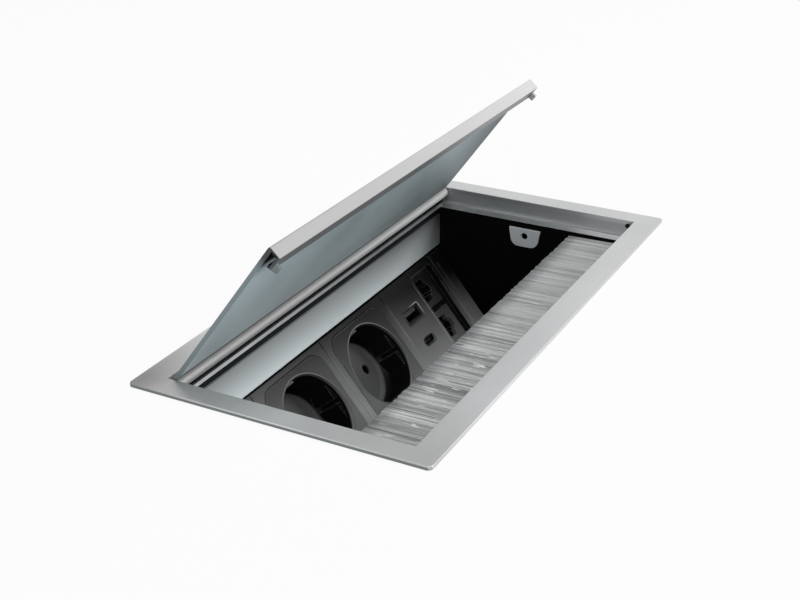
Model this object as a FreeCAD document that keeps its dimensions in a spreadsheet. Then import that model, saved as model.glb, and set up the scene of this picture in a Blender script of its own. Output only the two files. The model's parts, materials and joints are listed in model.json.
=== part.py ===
import FreeCAD, Part
import math
import os

import Sketcher

# Desk socket module: a box let into a desk top, with a hinged lid, a brush for
# the cables and a tilted strip of sockets inside.
# +X runs along the box, +Y points at the hinge, +Z is up. The origin is at the
# centre of the opening, in the plane of the desk top. All sizes are millimetres.

doc = FreeCAD.newDocument("desk_socket_module")

# Driving dimensions

HEX_SIDES = 6
BRISTLE_STEPS = 12
CONTACTS = 8
TOLERANCE = 0.01
PARALLEL = 0.999

DIMENSIONS = {
    # frame that lies on the desk
    "flange_length": 250.0,
    "flange_width": 126.0,
    "flange_thick": 1.5,
    "flange_corner": 2.0,
    "flange_edge": 0.4,
    "opening_length": 230.0,
    "opening_width": 104.0,
    "skirt_wall": 1.6,
    "skirt_drop": 9.1,
    "ledge_proud": 2.0,
    "ledge_rise": 2.5,
    "seat_depth": 0.2,
    "seat_slack": 0.5,
    # box under the desk
    "tray_width": 119.0,
    "tray_depth": 78.0,
    "sheet_wall": 1.0,
    "bend_radius": 2.0,
    "end_wall": 3.6,
    "end_web": 1.8,
    "end_rim": 2.4,
    "end_boss": 3.6,
    "ear_height": 9.0,
    "small_gap": 0.1,
    # lid and its hinge
    "lid_length": 228.6,
    "lid_reach": 79.2,
    "lid_plate": 1.8,
    "lid_open": 54.0,
    "bead_radius": 2.4,
    "hinge_from_wall": 3.0,
    "hinge_drop": 1.2,
    "lip_drop": 5.5,
    "lip_lean": 0.75,
    "lip_wall": 1.2,
    "lip_foot": 6.6,
    "lip_return": 2.1,
    "lip_edge": 0.9,
    "pin_radius": 1.0,
    "pin_length": 9.3,
    "bush_radius": 1.6,
    "bush_length": 8.0,
    "running_gap": 0.05,
    "press_gap": 0.02,
    "buffer_length": 3.0,
    "buffer_width": 1.6,
    "buffer_thick": 2.2,
    "buffer_inset": 5.6,
    # grub screws in the frame
    "grub_radius": 1.3,
    "grub_from_wall": 3.1,
    "grub_drop": 1.6,
    "grub_key": 0.65,
    "grub_key_depth": 1.0,
    # rear trim
    "trim_top": 12.8,
    "trim_bottom": 29.9,
    "trim_face": 50.2,
    "trim_wall": 1.5,
    "trim_leg": 1.2,
    "trim_edge": 1.0,
    # brush
    "holder_outer": 58.3,
    "holder_inner": 50.4,
    "holder_top": 9.15,
    "holder_height": 3.6,
    "bristle_root": 57.0,
    "bristle_reach": 20.4,
    "bristle_top": 10.5,
    "bristle_thick": 0.9,
    "bristle_half_length": 112.5,
    "bristle_wave": 0.35,
    # fixing tab and its hole
    "tab_width": 16.6,
    "tab_top": 12.0,
    "tab_bottom": 21.6,
    "tab_thick": 1.2,
    "tab_taper": 1.6,
    "tab_round": 4.2,
    "tab_centre": 3.0,
    "bolt_drop": 15.9,
    "bolt_radius": 1.7,
    # tilted socket strip
    "strip_tilt": 50.0,
    "strip_back": 33.1,
    "strip_drop": 50.0,
    "strip_half": 26.0,
    "cover_thick": 4.2,
    "cover_face": 3.0,
    "cover_web": 2.2,
    "cover_border": 2.0,
    "cover_edge": 0.5,
    "cover_gap": 0.1,
    "rail_height": 4.0,
    "rail_depth": 4.0,
    "bracket_thick": 1.5,
    "bracket_face": 106.5,
    "bracket_corner": 2.5,
    "apron_face": 16.9,
    "apron_foot": 7.0,
    "apron_height": 5.7,
    "cap_rise": 1.2,
    "cap_edge": 1.2,
    "cap_groove_depth": 0.5,
    "cap_groove_half": 0.9,
    "cap_groove_inset": 2.2,
    "cap_groove_length": 40.0,
    # places of the modules along the strip
    "cap_left_end": -108.0,
    "blank_start": -96.0,
    "socket_one_start": -65.9,
    "socket_two_start": -10.5,
    "charger_start": 44.9,
    "data_start": 73.5,
    "data_end": 95.7,
    "cap_right_end": 108.0,
    # round socket
    "frame_square": 47.0,
    "frame_round": 8.0,
    "frame_lip": 1.5,
    "groove_width": 0.35,
    "well_radius": 19.6,
    "well_rim_rise": 0.6,
    "well_depth": 17.5,
    "well_bevel": 3.9,
    "well_fillet": 3.0,
    "cup_radius": 20.9,
    "cup_depth": 18.6,
    "cup_chamfer": 4.0,
    "pin_hole_radius": 2.5,
    "pin_pitch": 19.0,
    "guide_face": 17.6,
    "guide_near": 1.2,
    "guide_far": 8.6,
    "guide_drop": 3.0,
    "clip_slot_half": 3.4,
    "clip_slot_inner": 14.8,
    "clip_slot_outer": 19.45,
    "clip_slot_rise": 7.1,
    "clip_half": 3.0,
    "clip_wall": 0.8,
    "clip_reach": 19.2,
    "clip_base": 19.5,
    "clip_corner": 3.8,
    "clip_corner_shift": 0.33,
    "clip_bend": 11.0,
    "clip_bow": 1.0,
    "clip_contact": 7.5,
    "clip_tip": 3.7,
    "sleeve_radius": 3.2,
    "sleeve_bore": 2.45,
    "sleeve_length": 9.8,
    "sleeve_floor": 1.0,
    "sleeve_slit": 0.8,
    "sleeve_slit_length": 6.0,
    # current bars behind the sockets
    "bar_thick": 0.8,
    "bar_end": -70.0,
    "bar_tab_half": 4.4,
    "live_near": 3.5,
    "live_far": 6.0,
    "live_level": 21.6,
    "neutral_near": -3.5,
    "neutral_far": -6.0,
    "neutral_level": 24.6,
    "earth_near": -8.0,
    "earth_far": -11.0,
    "earth_level": 20.3,
    "block_start": -93.0,
    "block_low": -12.5,
    "block_high": 6.5,
    "block_back": 26.0,
    "block_wire_radius": 1.8,
    "block_wire_depth": 9.0,
    # charging module
    "port_a_across": 59.2,
    "port_a_up": 7.75,
    "port_a_length": 14.6,
    "port_a_height": 6.6,
    "shell_a_length": 13.4,
    "shell_a_height": 5.8,
    "shell_wall": 0.35,
    "shell_front": 0.6,
    "tongue_a_length": 11.2,
    "tongue_a_height": 1.9,
    "tongue_a_rise": 0.6,
    "tongue_front": 1.6,
    "port_c_across": 58.8,
    "port_c_up": -7.1,
    "port_c_length": 9.6,
    "port_c_height": 3.7,
    "shell_c_length": 8.9,
    "shell_c_height": 3.1,
    "tongue_c_length": 6.6,
    "tongue_c_height": 0.7,
    "board_level": 14.0,
    "board_thick": 1.6,
    "board_margin": 2.0,
    "board_low": -14.0,
    "board_high": 20.0,
    "post_radius": 1.8,
    "post_across": 10.0,
    "post_low": -12.0,
    "post_high": 17.5,
    "coil_low": -11.0,
    "coil_high": 1.0,
    "coil_half": 6.0,
    "coil_depth": 7.0,
    # data module
    "window_margin": 0.9,
    "window_low": -21.0,
    "window_high": 22.0,
    "window_depth": 3.2,
    "jack_start": 74.7,
    "jack_width": 14.2,
    "jack_half": 9.0,
    "jack_upper": 12.8,
    "jack_lower": -8.2,
    "jack_front": 1.0,
    "jack_back": 14.4,
    "jack_gap": 0.15,
    "plug_start": 0.9,
    "plug_height": 6.7,
    "plug_half": 5.9,
    "plug_step_height": 1.4,
    "plug_step_half": 3.2,
    "plug_latch_height": 1.3,
    "plug_latch_half": 1.8,
    "plug_depth": 12.4,
    "jack_edge": 0.4,
    "wire_back": 11.4,
    "wire_length": 8.0,
    "wire_pitch": 1.02,
    "wire_width": 0.5,
    "wire_thick": 0.5,
    # cable inlets
    "mains_inlet_back": 46.5,
    "mains_inlet_drop": 56.0,
    "mains_inlet_bore": 4.2,
    "mains_inlet_hole": 7.0,
    "data_inlet_back": 33.0,
    "data_inlet_drop": 65.7,
    "data_inlet_bore": 3.1,
    "data_inlet_hole": 5.0,
    "inlet_flange": 1.4,
    "inlet_lip": 1.4,
    "cable_hole": 9.0,
    # small screws
    "screw_head": 1.7,
    "screw_shank": 0.95,
    "screw_length": 8.0,
    "screw_inset": 46.0,
    "rail_screw_head": 2.1,
    "rail_screw_head_height": 1.3,
    "rail_screw_shank": 1.1,
    "rail_screw_length": 7.0,
}


# A size is a cell of the sheet, or a sum made of such cells. It knows its
# number, for the first drawing of a sketch, and its formula, which holds later.


class Size:
    def __init__(self, formula, value):
        self.formula = formula
        self.value = value

    def __add__(self, other):
        other = as_size(other)
        return Size(f"({self.formula} + {other.formula})", self.value + other.value)

    def __sub__(self, other):
        other = as_size(other)
        return Size(f"({self.formula} - {other.formula})", self.value - other.value)

    def __mul__(self, other):
        other = as_size(other)
        return Size(f"({self.formula} * {other.formula})", self.value * other.value)

    def __truediv__(self, divisor):
        return Size(f"({self.formula} / {divisor})", self.value / divisor)

    def __neg__(self):
        return Size(f"(0 - {self.formula})", -self.value)

    __rmul__ = __mul__


def as_size(item):
    if isinstance(item, Size):
        return item
    return Size(f"{item}", float(item))


class Dimensions:
    """The sheet of driving dimensions, read as dim.name."""

    def __init__(self, values):
        sheet = doc.addObject("Spreadsheet::Sheet", "sizes")
        for row, (name, value) in enumerate(values.items(), start=1):
            sheet.set(f"A{row}", name)
            sheet.set(f"B{row}", str(value))
            sheet.setAlias(f"B{row}", name)
            setattr(self, name, Size(f"sizes.{name}", value))


dim = Dimensions(DIMENSIONS)
doc.recompute()
nodes = []


def bind(item, path, size):
    """Ties one property of an object to the sheet."""
    item.setExpression(path, as_size(size).formula)


def place(item, x=0, y=0, z=0):
    for letter, size in zip("xyz", (x, y, z)):
        bind(item, f"Placement.Base.{letter}", size)


# Bodies and their sketches


def new_body(label, x=0, y=0, z=0):
    body = doc.addObject("PartDesign::Body", label)
    body.Label = label
    place(body, x, y, z)
    nodes.append(body)
    return body


def strip_body(label, across=0):
    """A body in the strip's own frame: y runs up the panel and z out of it."""
    body = new_body(label, across, dim.strip_back, -dim.strip_drop)
    body.Placement.Rotation = FreeCAD.Rotation(FreeCAD.Vector(1, 0, 0), 1)
    bind(body, "Placement.Rotation.Angle", dim.strip_tilt)
    return body


def sketch(body, plane, level=0):
    drawing = body.newObject("Sketcher::SketchObject", body.Name + "_sketch")
    for feature in body.Origin.OriginFeatures:
        if feature.Role == plane + "_Plane":
            drawing.AttachmentSupport = [(feature, "")]
    drawing.MapMode = "FlatFace"
    bind(drawing, "AttachmentOffset.Base.z", level)
    return drawing


def fix(drawing, constraint, size):
    """Adds a constraint and ties its value to the sheet."""
    index = drawing.addConstraint(constraint)
    if isinstance(size, Size):
        drawing.setExpression(f"Constraints[{index}]", size.formula)


def fix_point(drawing, geometry, end, x, y):
    x_value = as_size(x).value
    y_value = as_size(y).value
    fix(drawing, Sketcher.Constraint("DistanceX", -1, 1, geometry, end, x_value), x)
    fix(drawing, Sketcher.Constraint("DistanceY", -1, 1, geometry, end, y_value), y)


def vector(x, y):
    return FreeCAD.Vector(as_size(x).value, as_size(y).value, 0)


def polygon(drawing, points):
    """A closed outline with every corner held by the sheet."""
    first = drawing.GeometryCount
    count = len(points)
    for index in range(count):
        start = vector(*points[index])
        end = vector(*points[(index + 1) % count])
        drawing.addGeometry(Part.LineSegment(start, end), False)
    for index in range(count):
        following = first + (index + 1) % count
        joint = Sketcher.Constraint("Coincident", first + index, 2, following, 1)
        drawing.addConstraint(joint)
    for index in range(count):
        fix_point(drawing, first + index, 1, *points[index])


def rectangle(drawing, left, low, right, high):
    polygon(drawing, [(left, low), (right, low), (right, high), (left, high)])


def centred(drawing, length, width):
    rectangle(drawing, -length / 2, -width / 2, length / 2, width / 2)


def circle(drawing, radius, x=0, y=0):
    index = drawing.addGeometry(
        Part.Circle(vector(x, y), FreeCAD.Vector(0, 0, 1), radius.value), False
    )
    fix_point(drawing, index, 3, x, y)
    fix(drawing, Sketcher.Constraint("Radius", index, radius.value), radius)


def rounded(drawing, left, low, right, high, radius):
    """A rectangle with round corners, drawn as four lines and four arcs."""
    up = FreeCAD.Vector(0, 0, 1)
    first = drawing.GeometryCount
    centres = [
        (right - radius, high - radius),
        (left + radius, high - radius),
        (left + radius, low + radius),
        (right - radius, low + radius),
    ]
    for quarter, centre in enumerate(centres):
        start = quarter * math.pi / 2
        whole = Part.Circle(vector(*centre), up, radius.value)
        drawing.addGeometry(
            Part.ArcOfCircle(whole, start, start + math.pi / 2), False
        )
    for quarter in range(4):
        begin = drawing.Geometry[first + quarter].EndPoint
        end = drawing.Geometry[first + (quarter + 1) % 4].StartPoint
        drawing.addGeometry(Part.LineSegment(begin, end), False)
    for quarter, centre in enumerate(centres):
        arc = first + quarter
        line = first + 4 + quarter
        following = first + (quarter + 1) % 4
        drawing.addConstraint(Sketcher.Constraint("Tangent", arc, 2, line, 1))
        drawing.addConstraint(Sketcher.Constraint("Tangent", line, 2, following, 1))
        fix_point(drawing, arc, 3, *centre)
        fix(drawing, Sketcher.Constraint("Radius", arc, radius.value), radius)


# Features


def pad(body, drawing, length, side="up"):
    feature = body.newObject("PartDesign::Pad", body.Name + "_pad")
    feature.Profile = drawing
    bind(feature, "Length", length)
    feature.Reversed = side == "down"
    feature.SideType = "Symmetric" if side == "both" else "One side"
    return feature


def pocket(body, drawing, depth, side="down"):
    """Cuts below the sketch, above it (up) or both ways, and tests that it cut."""
    doc.recompute()
    before = body.Shape.Volume
    feature = body.newObject("PartDesign::Pocket", body.Name + "_pocket")
    feature.Profile = drawing
    bind(feature, "Length", depth)
    feature.Reversed = side == "up"
    feature.SideType = "Symmetric" if side == "both" else "One side"
    doc.recompute()
    if body.Shape.Volume >= before:
        raise RuntimeError(f"a pocket of {body.Label} cuts nothing")
    return feature


def revolve(body, drawing, axis):
    feature = body.newObject("PartDesign::Revolution", body.Name + "_turned")
    feature.Profile = drawing
    feature.ReferenceAxis = (drawing, [axis])
    feature.Angle = 360
    return feature


def groove(body, drawing, axis):
    """Turns the sketch round its axis and cuts it away, and tests that it cut."""
    doc.recompute()
    before = body.Shape.Volume
    feature = body.newObject("PartDesign::Groove", body.Name + "_groove")
    feature.Profile = drawing
    feature.ReferenceAxis = (drawing, [axis])
    feature.Angle = 360
    doc.recompute()
    if body.Shape.Volume >= before:
        raise RuntimeError(f"a groove of {body.Label} cuts nothing")
    return feature


def soften(body, radius, test, kind="Fillet"):
    """Rounds or bevels the edges whose middle and direction pass the test."""
    doc.recompute()
    base = body.Tip
    names = []
    for index, edge in enumerate(base.Shape.Edges, start=1):
        middle = edge.valueAt((edge.FirstParameter + edge.LastParameter) / 2)
        run = edge.tangentAt(edge.FirstParameter)
        if test(middle, run):
            names.append(f"Edge{index}")
    if not names:
        raise RuntimeError(f"no edge of {body.Label} passes the test")
    feature = body.newObject("PartDesign::" + kind, body.Name + "_" + kind)
    feature.Base = (base, names)
    bind(feature, "Radius" if kind == "Fillet" else "Size", radius)
    doc.recompute()
    return feature


def close_to(value, size):
    return abs(value - as_size(size).value) < TOLERANCE


def runs_along(run, letter):
    return abs(getattr(run, letter)) > PARALLEL


# Primitives, for screws, sleeves and other plain turned pieces


def solid(kind, name, **sizes):
    item = doc.addObject("Part::" + kind, name)
    for path, size in sizes.items():
        bind(item, path, size)
    return item


def joined(kind, name, base, tool):
    item = doc.addObject("Part::" + kind, name)
    item.Base = base
    item.Tool = tool
    return item


def group(label, members):
    """Several like pieces that share one node."""
    item = doc.addObject("Part::Compound", label)
    item.Label = label
    item.Links = members
    nodes.append(item)
    return item


# Sizes worked out from the driving ones

half_opening = dim.opening_length / 2
half_width = dim.opening_width / 2
skirt_end = half_opening + dim.skirt_wall
skirt_side = half_width + dim.skirt_wall
ledge_end = half_opening - dim.ledge_proud
tray_half = dim.tray_width / 2
tray_inner = tray_half - dim.sheet_wall
tray_floor = dim.tray_depth - dim.sheet_wall
end_inner = skirt_end - dim.end_wall
hinge_back = half_width - dim.hinge_from_wall
trim_span = end_inner * 2 - dim.small_gap * 2
tilt_angle = math.radians(dim.strip_tilt.value)
tilt_cos = Size("cos(sizes.strip_tilt)", math.cos(tilt_angle))
tilt_sin = Size("sin(sizes.strip_tilt)", math.sin(tilt_angle))


def panel_point(up, out):
    """Where a point of the strip's own frame lies across and below the desk."""
    up = as_size(up)
    out = as_size(out)
    back = dim.strip_back + up * tilt_cos - out * tilt_sin
    level = up * tilt_sin + out * tilt_cos - dim.strip_drop
    return back, level


rail_middle = dim.strip_half - dim.rail_height / 2
rail_centre = -(dim.cover_thick + dim.rail_depth / 2)


# Frame on the desk


def make_bezel():
    body = new_body("bezel")
    flange = sketch(body, "XY")
    centred(flange, dim.flange_length, dim.flange_width)
    centred(flange, dim.opening_length, dim.opening_width)
    pad(body, flange, dim.flange_thick)
    skirt = sketch(body, "XY")
    centred(skirt, skirt_end * 2, skirt_side * 2)
    centred(skirt, dim.opening_length, dim.opening_width)
    pad(body, skirt, dim.skirt_drop, "down")
    ledge = sketch(body, "XY", -dim.skirt_drop)
    centred(ledge, skirt_end * 2, skirt_side * 2)
    centred(ledge, ledge_end * 2, (half_width - dim.ledge_proud) * 2)
    pad(body, ledge, dim.ledge_rise)
    # a shallow seat under the flange takes the top edge of the box
    seat = sketch(body, "XY")
    centred(seat, (skirt_end + dim.seat_slack) * 2, (tray_half + dim.small_gap) * 2)
    centred(seat, skirt_end * 2, skirt_side * 2)
    pocket(body, seat, dim.seat_depth, "up")
    # holes through both short walls for the hinge pins and the grub screws
    holes = sketch(body, "YZ")
    circle(holes, dim.pin_radius + dim.press_gap, hinge_back, -dim.hinge_drop)
    grub_place = dim.grub_from_wall - half_width
    circle(holes, dim.grub_radius + dim.press_gap, grub_place, -dim.grub_drop)
    pocket(body, holes, skirt_end * 2, "both")
    flange_corner = dim.flange_length / 2
    soften(
        body,
        dim.flange_corner,
        lambda middle, run: runs_along(run, "z") and close_to(abs(middle.x), flange_corner),
    )
    soften(
        body,
        dim.flange_edge,
        lambda middle, run: close_to(middle.z, dim.flange_thick),
    )


def make_grub_screws():
    screws = []
    for side, name in ((-1, "left"), (1, "right")):
        shaft = solid(
            "Cylinder",
            "grub_shaft_" + name,
            Radius=dim.grub_radius,
            Height=dim.skirt_wall,
        )
        key = solid(
            "Prism",
            "grub_key_" + name,
            Circumradius=dim.grub_key,
            Height=dim.grub_key_depth,
        )
        key.Polygon = HEX_SIDES
        screw = joined("Cut", "grub_screw_" + name, shaft, key)
        turn = FreeCAD.Rotation(FreeCAD.Vector(0, 1, 0), 90 * side)
        screw.Placement = FreeCAD.Placement(FreeCAD.Vector(), turn)
        place(
            screw, half_opening * side, dim.grub_from_wall - half_width, -dim.grub_drop
        )
        screws.append(screw)
    group("frame_grub_screws", screws)


# Lid, drawn closed and flat, then swung open about the hinge


def lid_body(label, across=0):
    body = new_body(label, across, hinge_back, -dim.hinge_drop)
    body.Placement.Rotation = FreeCAD.Rotation(FreeCAD.Vector(-1, 0, 0), 1)
    bind(body, "Placement.Rotation.Angle", dim.lid_open)
    return body


def make_lid_panel():
    body = lid_body("lid_panel")
    top = dim.bead_radius
    under = top - dim.lid_plate
    low = top - dim.lip_drop
    front = -dim.lid_reach
    inner = front + dim.lip_wall
    foot = front + dim.lip_lean + dim.lip_foot
    plate = sketch(body, "YZ")
    polygon(
        plate,
        [
            (front, top),
            (front + dim.lip_lean, low),
            (foot, low),
            (foot, low + dim.lip_return),
            (foot - dim.lip_wall, low + dim.lip_return),
            (foot - dim.lip_wall, low + dim.lip_wall),
            (inner + dim.lip_lean, low + dim.lip_wall),
            (inner, under),
            (0, under),
            (0, top),
        ],
    )
    pad(body, plate, dim.lid_length, "both")
    bead = sketch(body, "YZ")
    circle(bead, dim.bead_radius)
    pad(body, bead, dim.lid_length, "both")
    bores = sketch(body, "YZ")
    circle(bores, dim.bush_radius + dim.press_gap)
    pocket(body, bores, dim.lid_length, "both")
    core = sketch(body, "YZ")
    circle(core, dim.bush_radius + dim.press_gap)
    pad(body, core, dim.lid_length - dim.bush_length * 2, "both")
    soften(
        body,
        dim.lip_edge,
        lambda middle, run: close_to(middle.y, front) and close_to(middle.z, top),
    )


def make_hinge():
    for side, name in ((-1, "left"), (1, "right")):
        start = dim.lid_length / 2 - dim.bush_length
        bush = lid_body("hinge_bush_" + name)
        ring = sketch(bush, "YZ", start * side)
        circle(ring, dim.bush_radius)
        circle(ring, dim.pin_radius + dim.running_gap)
        pad(bush, ring, dim.bush_length, "up" if side > 0 else "down")
        pin = new_body("hinge_pin_" + name, 0, hinge_back, -dim.hinge_drop)
        shaft = sketch(pin, "YZ", skirt_end * side)
        circle(shaft, dim.pin_radius)
        pad(pin, shaft, dim.pin_length, "down" if side > 0 else "up")
        tip = (skirt_end - dim.pin_length) * side
        soften(
            pin,
            dim.pin_radius / 4,
            lambda middle, run: close_to(middle.x, tip),
            "Chamfer",
        )


def make_lid_buffers():
    pads = []
    low = dim.bead_radius - dim.lip_drop
    for side, name in ((-1, "left"), (1, "right")):
        block = solid(
            "Box",
            "buffer_" + name,
            Length=dim.buffer_width,
            Width=dim.buffer_length,
            Height=dim.buffer_thick,
        )
        outer = dim.lid_length / 2 - dim.small_gap
        place(
            block,
            outer - dim.buffer_width if side > 0 else -outer,
            dim.buffer_inset - dim.lid_reach - dim.buffer_length / 2,
            low - dim.buffer_thick,
        )
        pads.append(block)
    pair = group("lid_buffers", pads)
    place(pair, 0, hinge_back, -dim.hinge_drop)
    pair.Placement.Rotation = FreeCAD.Rotation(FreeCAD.Vector(-1, 0, 0), 1)
    bind(pair, "Placement.Rotation.Angle", dim.lid_open)


# Box under the desk


def make_tray():
    body = new_body("box_tray")
    section = sketch(body, "YZ")
    polygon(
        section,
        [
            (-tray_half, dim.seat_depth),
            (-tray_half, -dim.tray_depth),
            (tray_half, -dim.tray_depth),
            (tray_half, dim.seat_depth),
            (tray_inner, dim.seat_depth),
            (tray_inner, -tray_floor),
            (-tray_inner, -tray_floor),
            (-tray_inner, dim.seat_depth),
        ],
    )
    pad(body, section, skirt_end * 2, "both")
    soften(
        body,
        dim.bend_radius,
        lambda middle, run: runs_along(run, "x") and close_to(middle.z, -dim.tray_depth),
    )
    soften(
        body,
        dim.bend_radius - dim.sheet_wall,
        lambda middle, run: runs_along(run, "x") and close_to(middle.z, -tray_floor),
    )
    holes = sketch(body, "XY", -tray_floor)
    for across in (-1, 1):
        for back in (-1, 1):
            middle = (skirt_end - dim.end_wall / 2) * across
            circle(holes, dim.screw_head + dim.press_gap, middle, dim.screw_inset * back)
    pocket(body, holes, dim.sheet_wall)


def make_end_plates():
    corner = dim.bend_radius - dim.sheet_wall
    side = tray_inner - dim.small_gap
    floor = -tray_floor
    shoulder = -dim.skirt_drop
    ear = skirt_side + dim.small_gap
    for hand, name in ((-1, "left"), (1, "right")):
        body = new_body("end_plate_" + name)
        outline = sketch(body, "YZ", end_inner * hand)
        polygon(
            outline,
            [
                (-side, shoulder + dim.ear_height),
                (-side, floor + corner),
                (corner - side, floor),
                (side - corner, floor),
                (side, floor + corner),
                (side, shoulder + dim.ear_height),
                (ear, shoulder + dim.ear_height),
                (ear, shoulder),
                (-ear, shoulder),
                (-ear, shoulder + dim.ear_height),
            ],
        )
        pad(body, outline, dim.end_wall, "up" if hand > 0 else "down")
        # the outer face is hollowed between a rim and round bosses
        hollow = sketch(body, "YZ", skirt_end * hand)
        rounded(
            hollow,
            dim.end_rim - side,
            floor + dim.end_rim * 2,
            side - dim.end_rim,
            shoulder - dim.end_rim,
            dim.end_rim,
        )
        circle(hollow, dim.end_boss, dim.tab_centre, -dim.bolt_drop)
        pocket(
            body, hollow, dim.end_wall - dim.end_web, "down" if hand > 0 else "up"
        )
        holes = sketch(body, "YZ", skirt_end * hand)
        circle(holes, dim.bolt_radius, dim.tab_centre, -dim.bolt_drop)
        if hand < 0:
            circle(
                holes,
                dim.mains_inlet_hole + dim.press_gap,
                dim.mains_inlet_back,
                -dim.mains_inlet_drop,
            )
            circle(
                holes,
                dim.data_inlet_hole + dim.press_gap,
                dim.data_inlet_back,
                -dim.data_inlet_drop,
            )
        pocket(body, holes, dim.end_wall, "down" if hand > 0 else "up")
        screw_holes = sketch(body, "XY", floor)
        middle = (skirt_end - dim.end_wall / 2) * hand
        for back in (-1, 1):
            circle(
                screw_holes,
                dim.screw_shank + dim.press_gap,
                middle,
                dim.screw_inset * back,
            )
        pocket(body, screw_holes, dim.screw_length, "up")


def countersunk(name, across, back, level):
    """A flat-headed screw that points up, with its head's face at the level."""
    head = solid(
        "Cylinder", name + "_head", Radius=dim.screw_head, Height=dim.sheet_wall
    )
    shank = solid(
        "Cylinder", name + "_shank", Radius=dim.screw_shank, Height=dim.screw_length
    )
    slot = solid(
        "Prism", name + "_key", Circumradius=dim.screw_shank, Height=dim.sheet_wall / 2
    )
    slot.Polygon = HEX_SIDES
    screw = joined("Cut", name, joined("Fuse", name + "_blank", head, shank), slot)
    place(screw, across, back, level)
    return screw


def make_end_plate_screws():
    screws = []
    for across, name in ((-1, "left"), (1, "right")):
        for back in (-1, 1):
            screws.append(
                countersunk(
                    f"end_screw_{name}_{'front' if back < 0 else 'rear'}",
                    (skirt_end - dim.end_wall / 2) * across,
                    dim.screw_inset * back,
                    -dim.tray_depth,
                )
            )
    group("end_plate_screws", screws)


def make_fixing_tabs():
    half = dim.tab_width / 2
    for hand, name in ((-1, "left"), (1, "right")):
        body = new_body("fixing_tab_" + name)
        outline = sketch(body, "YZ", (end_inner - dim.tab_thick) * hand)
        polygon(
            outline,
            [
                (dim.tab_centre - half, -dim.tab_top),
                (dim.tab_centre - half + dim.tab_taper, -dim.tab_bottom),
                (dim.tab_centre + half - dim.tab_taper, -dim.tab_bottom),
                (dim.tab_centre + half, -dim.tab_top),
            ],
        )
        circle(outline, dim.bolt_radius, dim.tab_centre, -dim.bolt_drop)
        pad(body, outline, dim.tab_thick, "up" if hand > 0 else "down")
        soften(
            body,
            dim.tab_round,
            lambda middle, run: runs_along(run, "x") and close_to(middle.z, -dim.tab_bottom),
        )


def make_inlets():
    """Rubber rings in the left end plate that the cables enter through."""
    mains = (dim.mains_inlet_back, dim.mains_inlet_drop)
    data = (dim.data_inlet_back, dim.data_inlet_drop)
    inlets = (
        ("mains", mains, dim.mains_inlet_bore, dim.mains_inlet_hole),
        ("data", data, dim.data_inlet_bore, dim.data_inlet_hole),
    )
    for name, (back, drop), bore, hole in inlets:
        body = new_body(name + "_grommet", -end_inner, back, -drop)
        inside = dim.inlet_flange
        outside = -(dim.end_web + dim.inlet_flange)
        section = sketch(body, "XZ")
        polygon(
            section,
            [
                (outside, bore),
                (inside, bore),
                (inside, hole + dim.inlet_lip / 2),
                (0, hole + dim.inlet_lip),
                (0, hole),
                (-dim.end_web, hole),
                (-dim.end_web, hole + dim.inlet_lip),
                (outside, hole + dim.inlet_lip),
            ],
        )
        revolve(body, section, "H_Axis")


# Trim behind the hinge and brush along the front


def make_rear_trim():
    body = new_body("rear_trim")
    back = tray_inner - dim.small_gap
    face = dim.trim_face
    inner = face + dim.trim_wall
    section = sketch(body, "YZ")
    polygon(
        section,
        [
            (face, -dim.trim_top),
            (face, -dim.trim_bottom),
            (back, -dim.trim_bottom),
            (back, dim.trim_leg - dim.trim_bottom),
            (inner, dim.trim_leg - dim.trim_bottom),
            (inner, -(dim.trim_top + dim.trim_leg)),
            (back, -(dim.trim_top + dim.trim_leg)),
            (back, -dim.trim_top),
        ],
    )
    pad(body, section, trim_span, "both")
    soften(
        body,
        dim.trim_edge,
        lambda middle, run: runs_along(run, "x")
        and close_to(middle.y, face)
        and close_to(middle.z, -dim.trim_bottom),
    )


def make_brush():
    holder = new_body("brush_holder")
    low = -(dim.holder_top + dim.holder_height)
    slot_top = dim.small_gap / 2 - dim.bristle_top
    slot_low = -(dim.bristle_top + dim.bristle_thick + dim.small_gap / 2)
    section = sketch(holder, "YZ")
    polygon(
        section,
        [
            (-dim.holder_outer, -dim.holder_top),
            (-dim.holder_outer, low),
            (-dim.holder_inner, low),
            (-dim.holder_inner, slot_low),
            (-dim.bristle_root, slot_low),
            (-dim.bristle_root, slot_top),
            (-dim.holder_inner, slot_top),
            (-dim.holder_inner, -dim.holder_top),
        ],
    )
    pad(holder, section, trim_span, "both")
    bristles = new_body("brush_bristles")
    block = sketch(bristles, "XY", -dim.bristle_top)
    half = dim.bristle_half_length
    free_edge = []
    for step in range(BRISTLE_STEPS + 1):
        wave = -dim.bristle_wave if step % 2 else dim.bristle_wave
        along = half * (1 - 2 * step / BRISTLE_STEPS)
        free_edge.append((along, wave - dim.bristle_reach))
    polygon(
        block, [(-half, -dim.bristle_root), (half, -dim.bristle_root)] + free_edge
    )
    pad(bristles, block, dim.bristle_thick, "down")


# Tilted strip: rails, brackets, covers and caps


def make_strip_rails():
    span = dim.bracket_face * 2 - dim.small_gap * 2
    for name, side in (("top", 1), ("bottom", -1)):
        body = strip_body("strip_rail_" + name)
        inner = (dim.strip_half - dim.rail_height) * side
        outer = dim.strip_half * side
        section = sketch(body, "YZ")
        low, high = (inner, outer) if side > 0 else (outer, inner)
        front = -dim.cover_thick
        rectangle(section, low, front - dim.rail_depth, high, front)
        pad(body, section, span, "both")
        hole = sketch(body, "YZ")
        middle = (inner + outer) / 2
        circle(
            hole,
            dim.rail_screw_shank + dim.press_gap,
            middle,
            front - dim.rail_depth / 2,
        )
        pocket(body, hole, span, "both")


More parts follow.
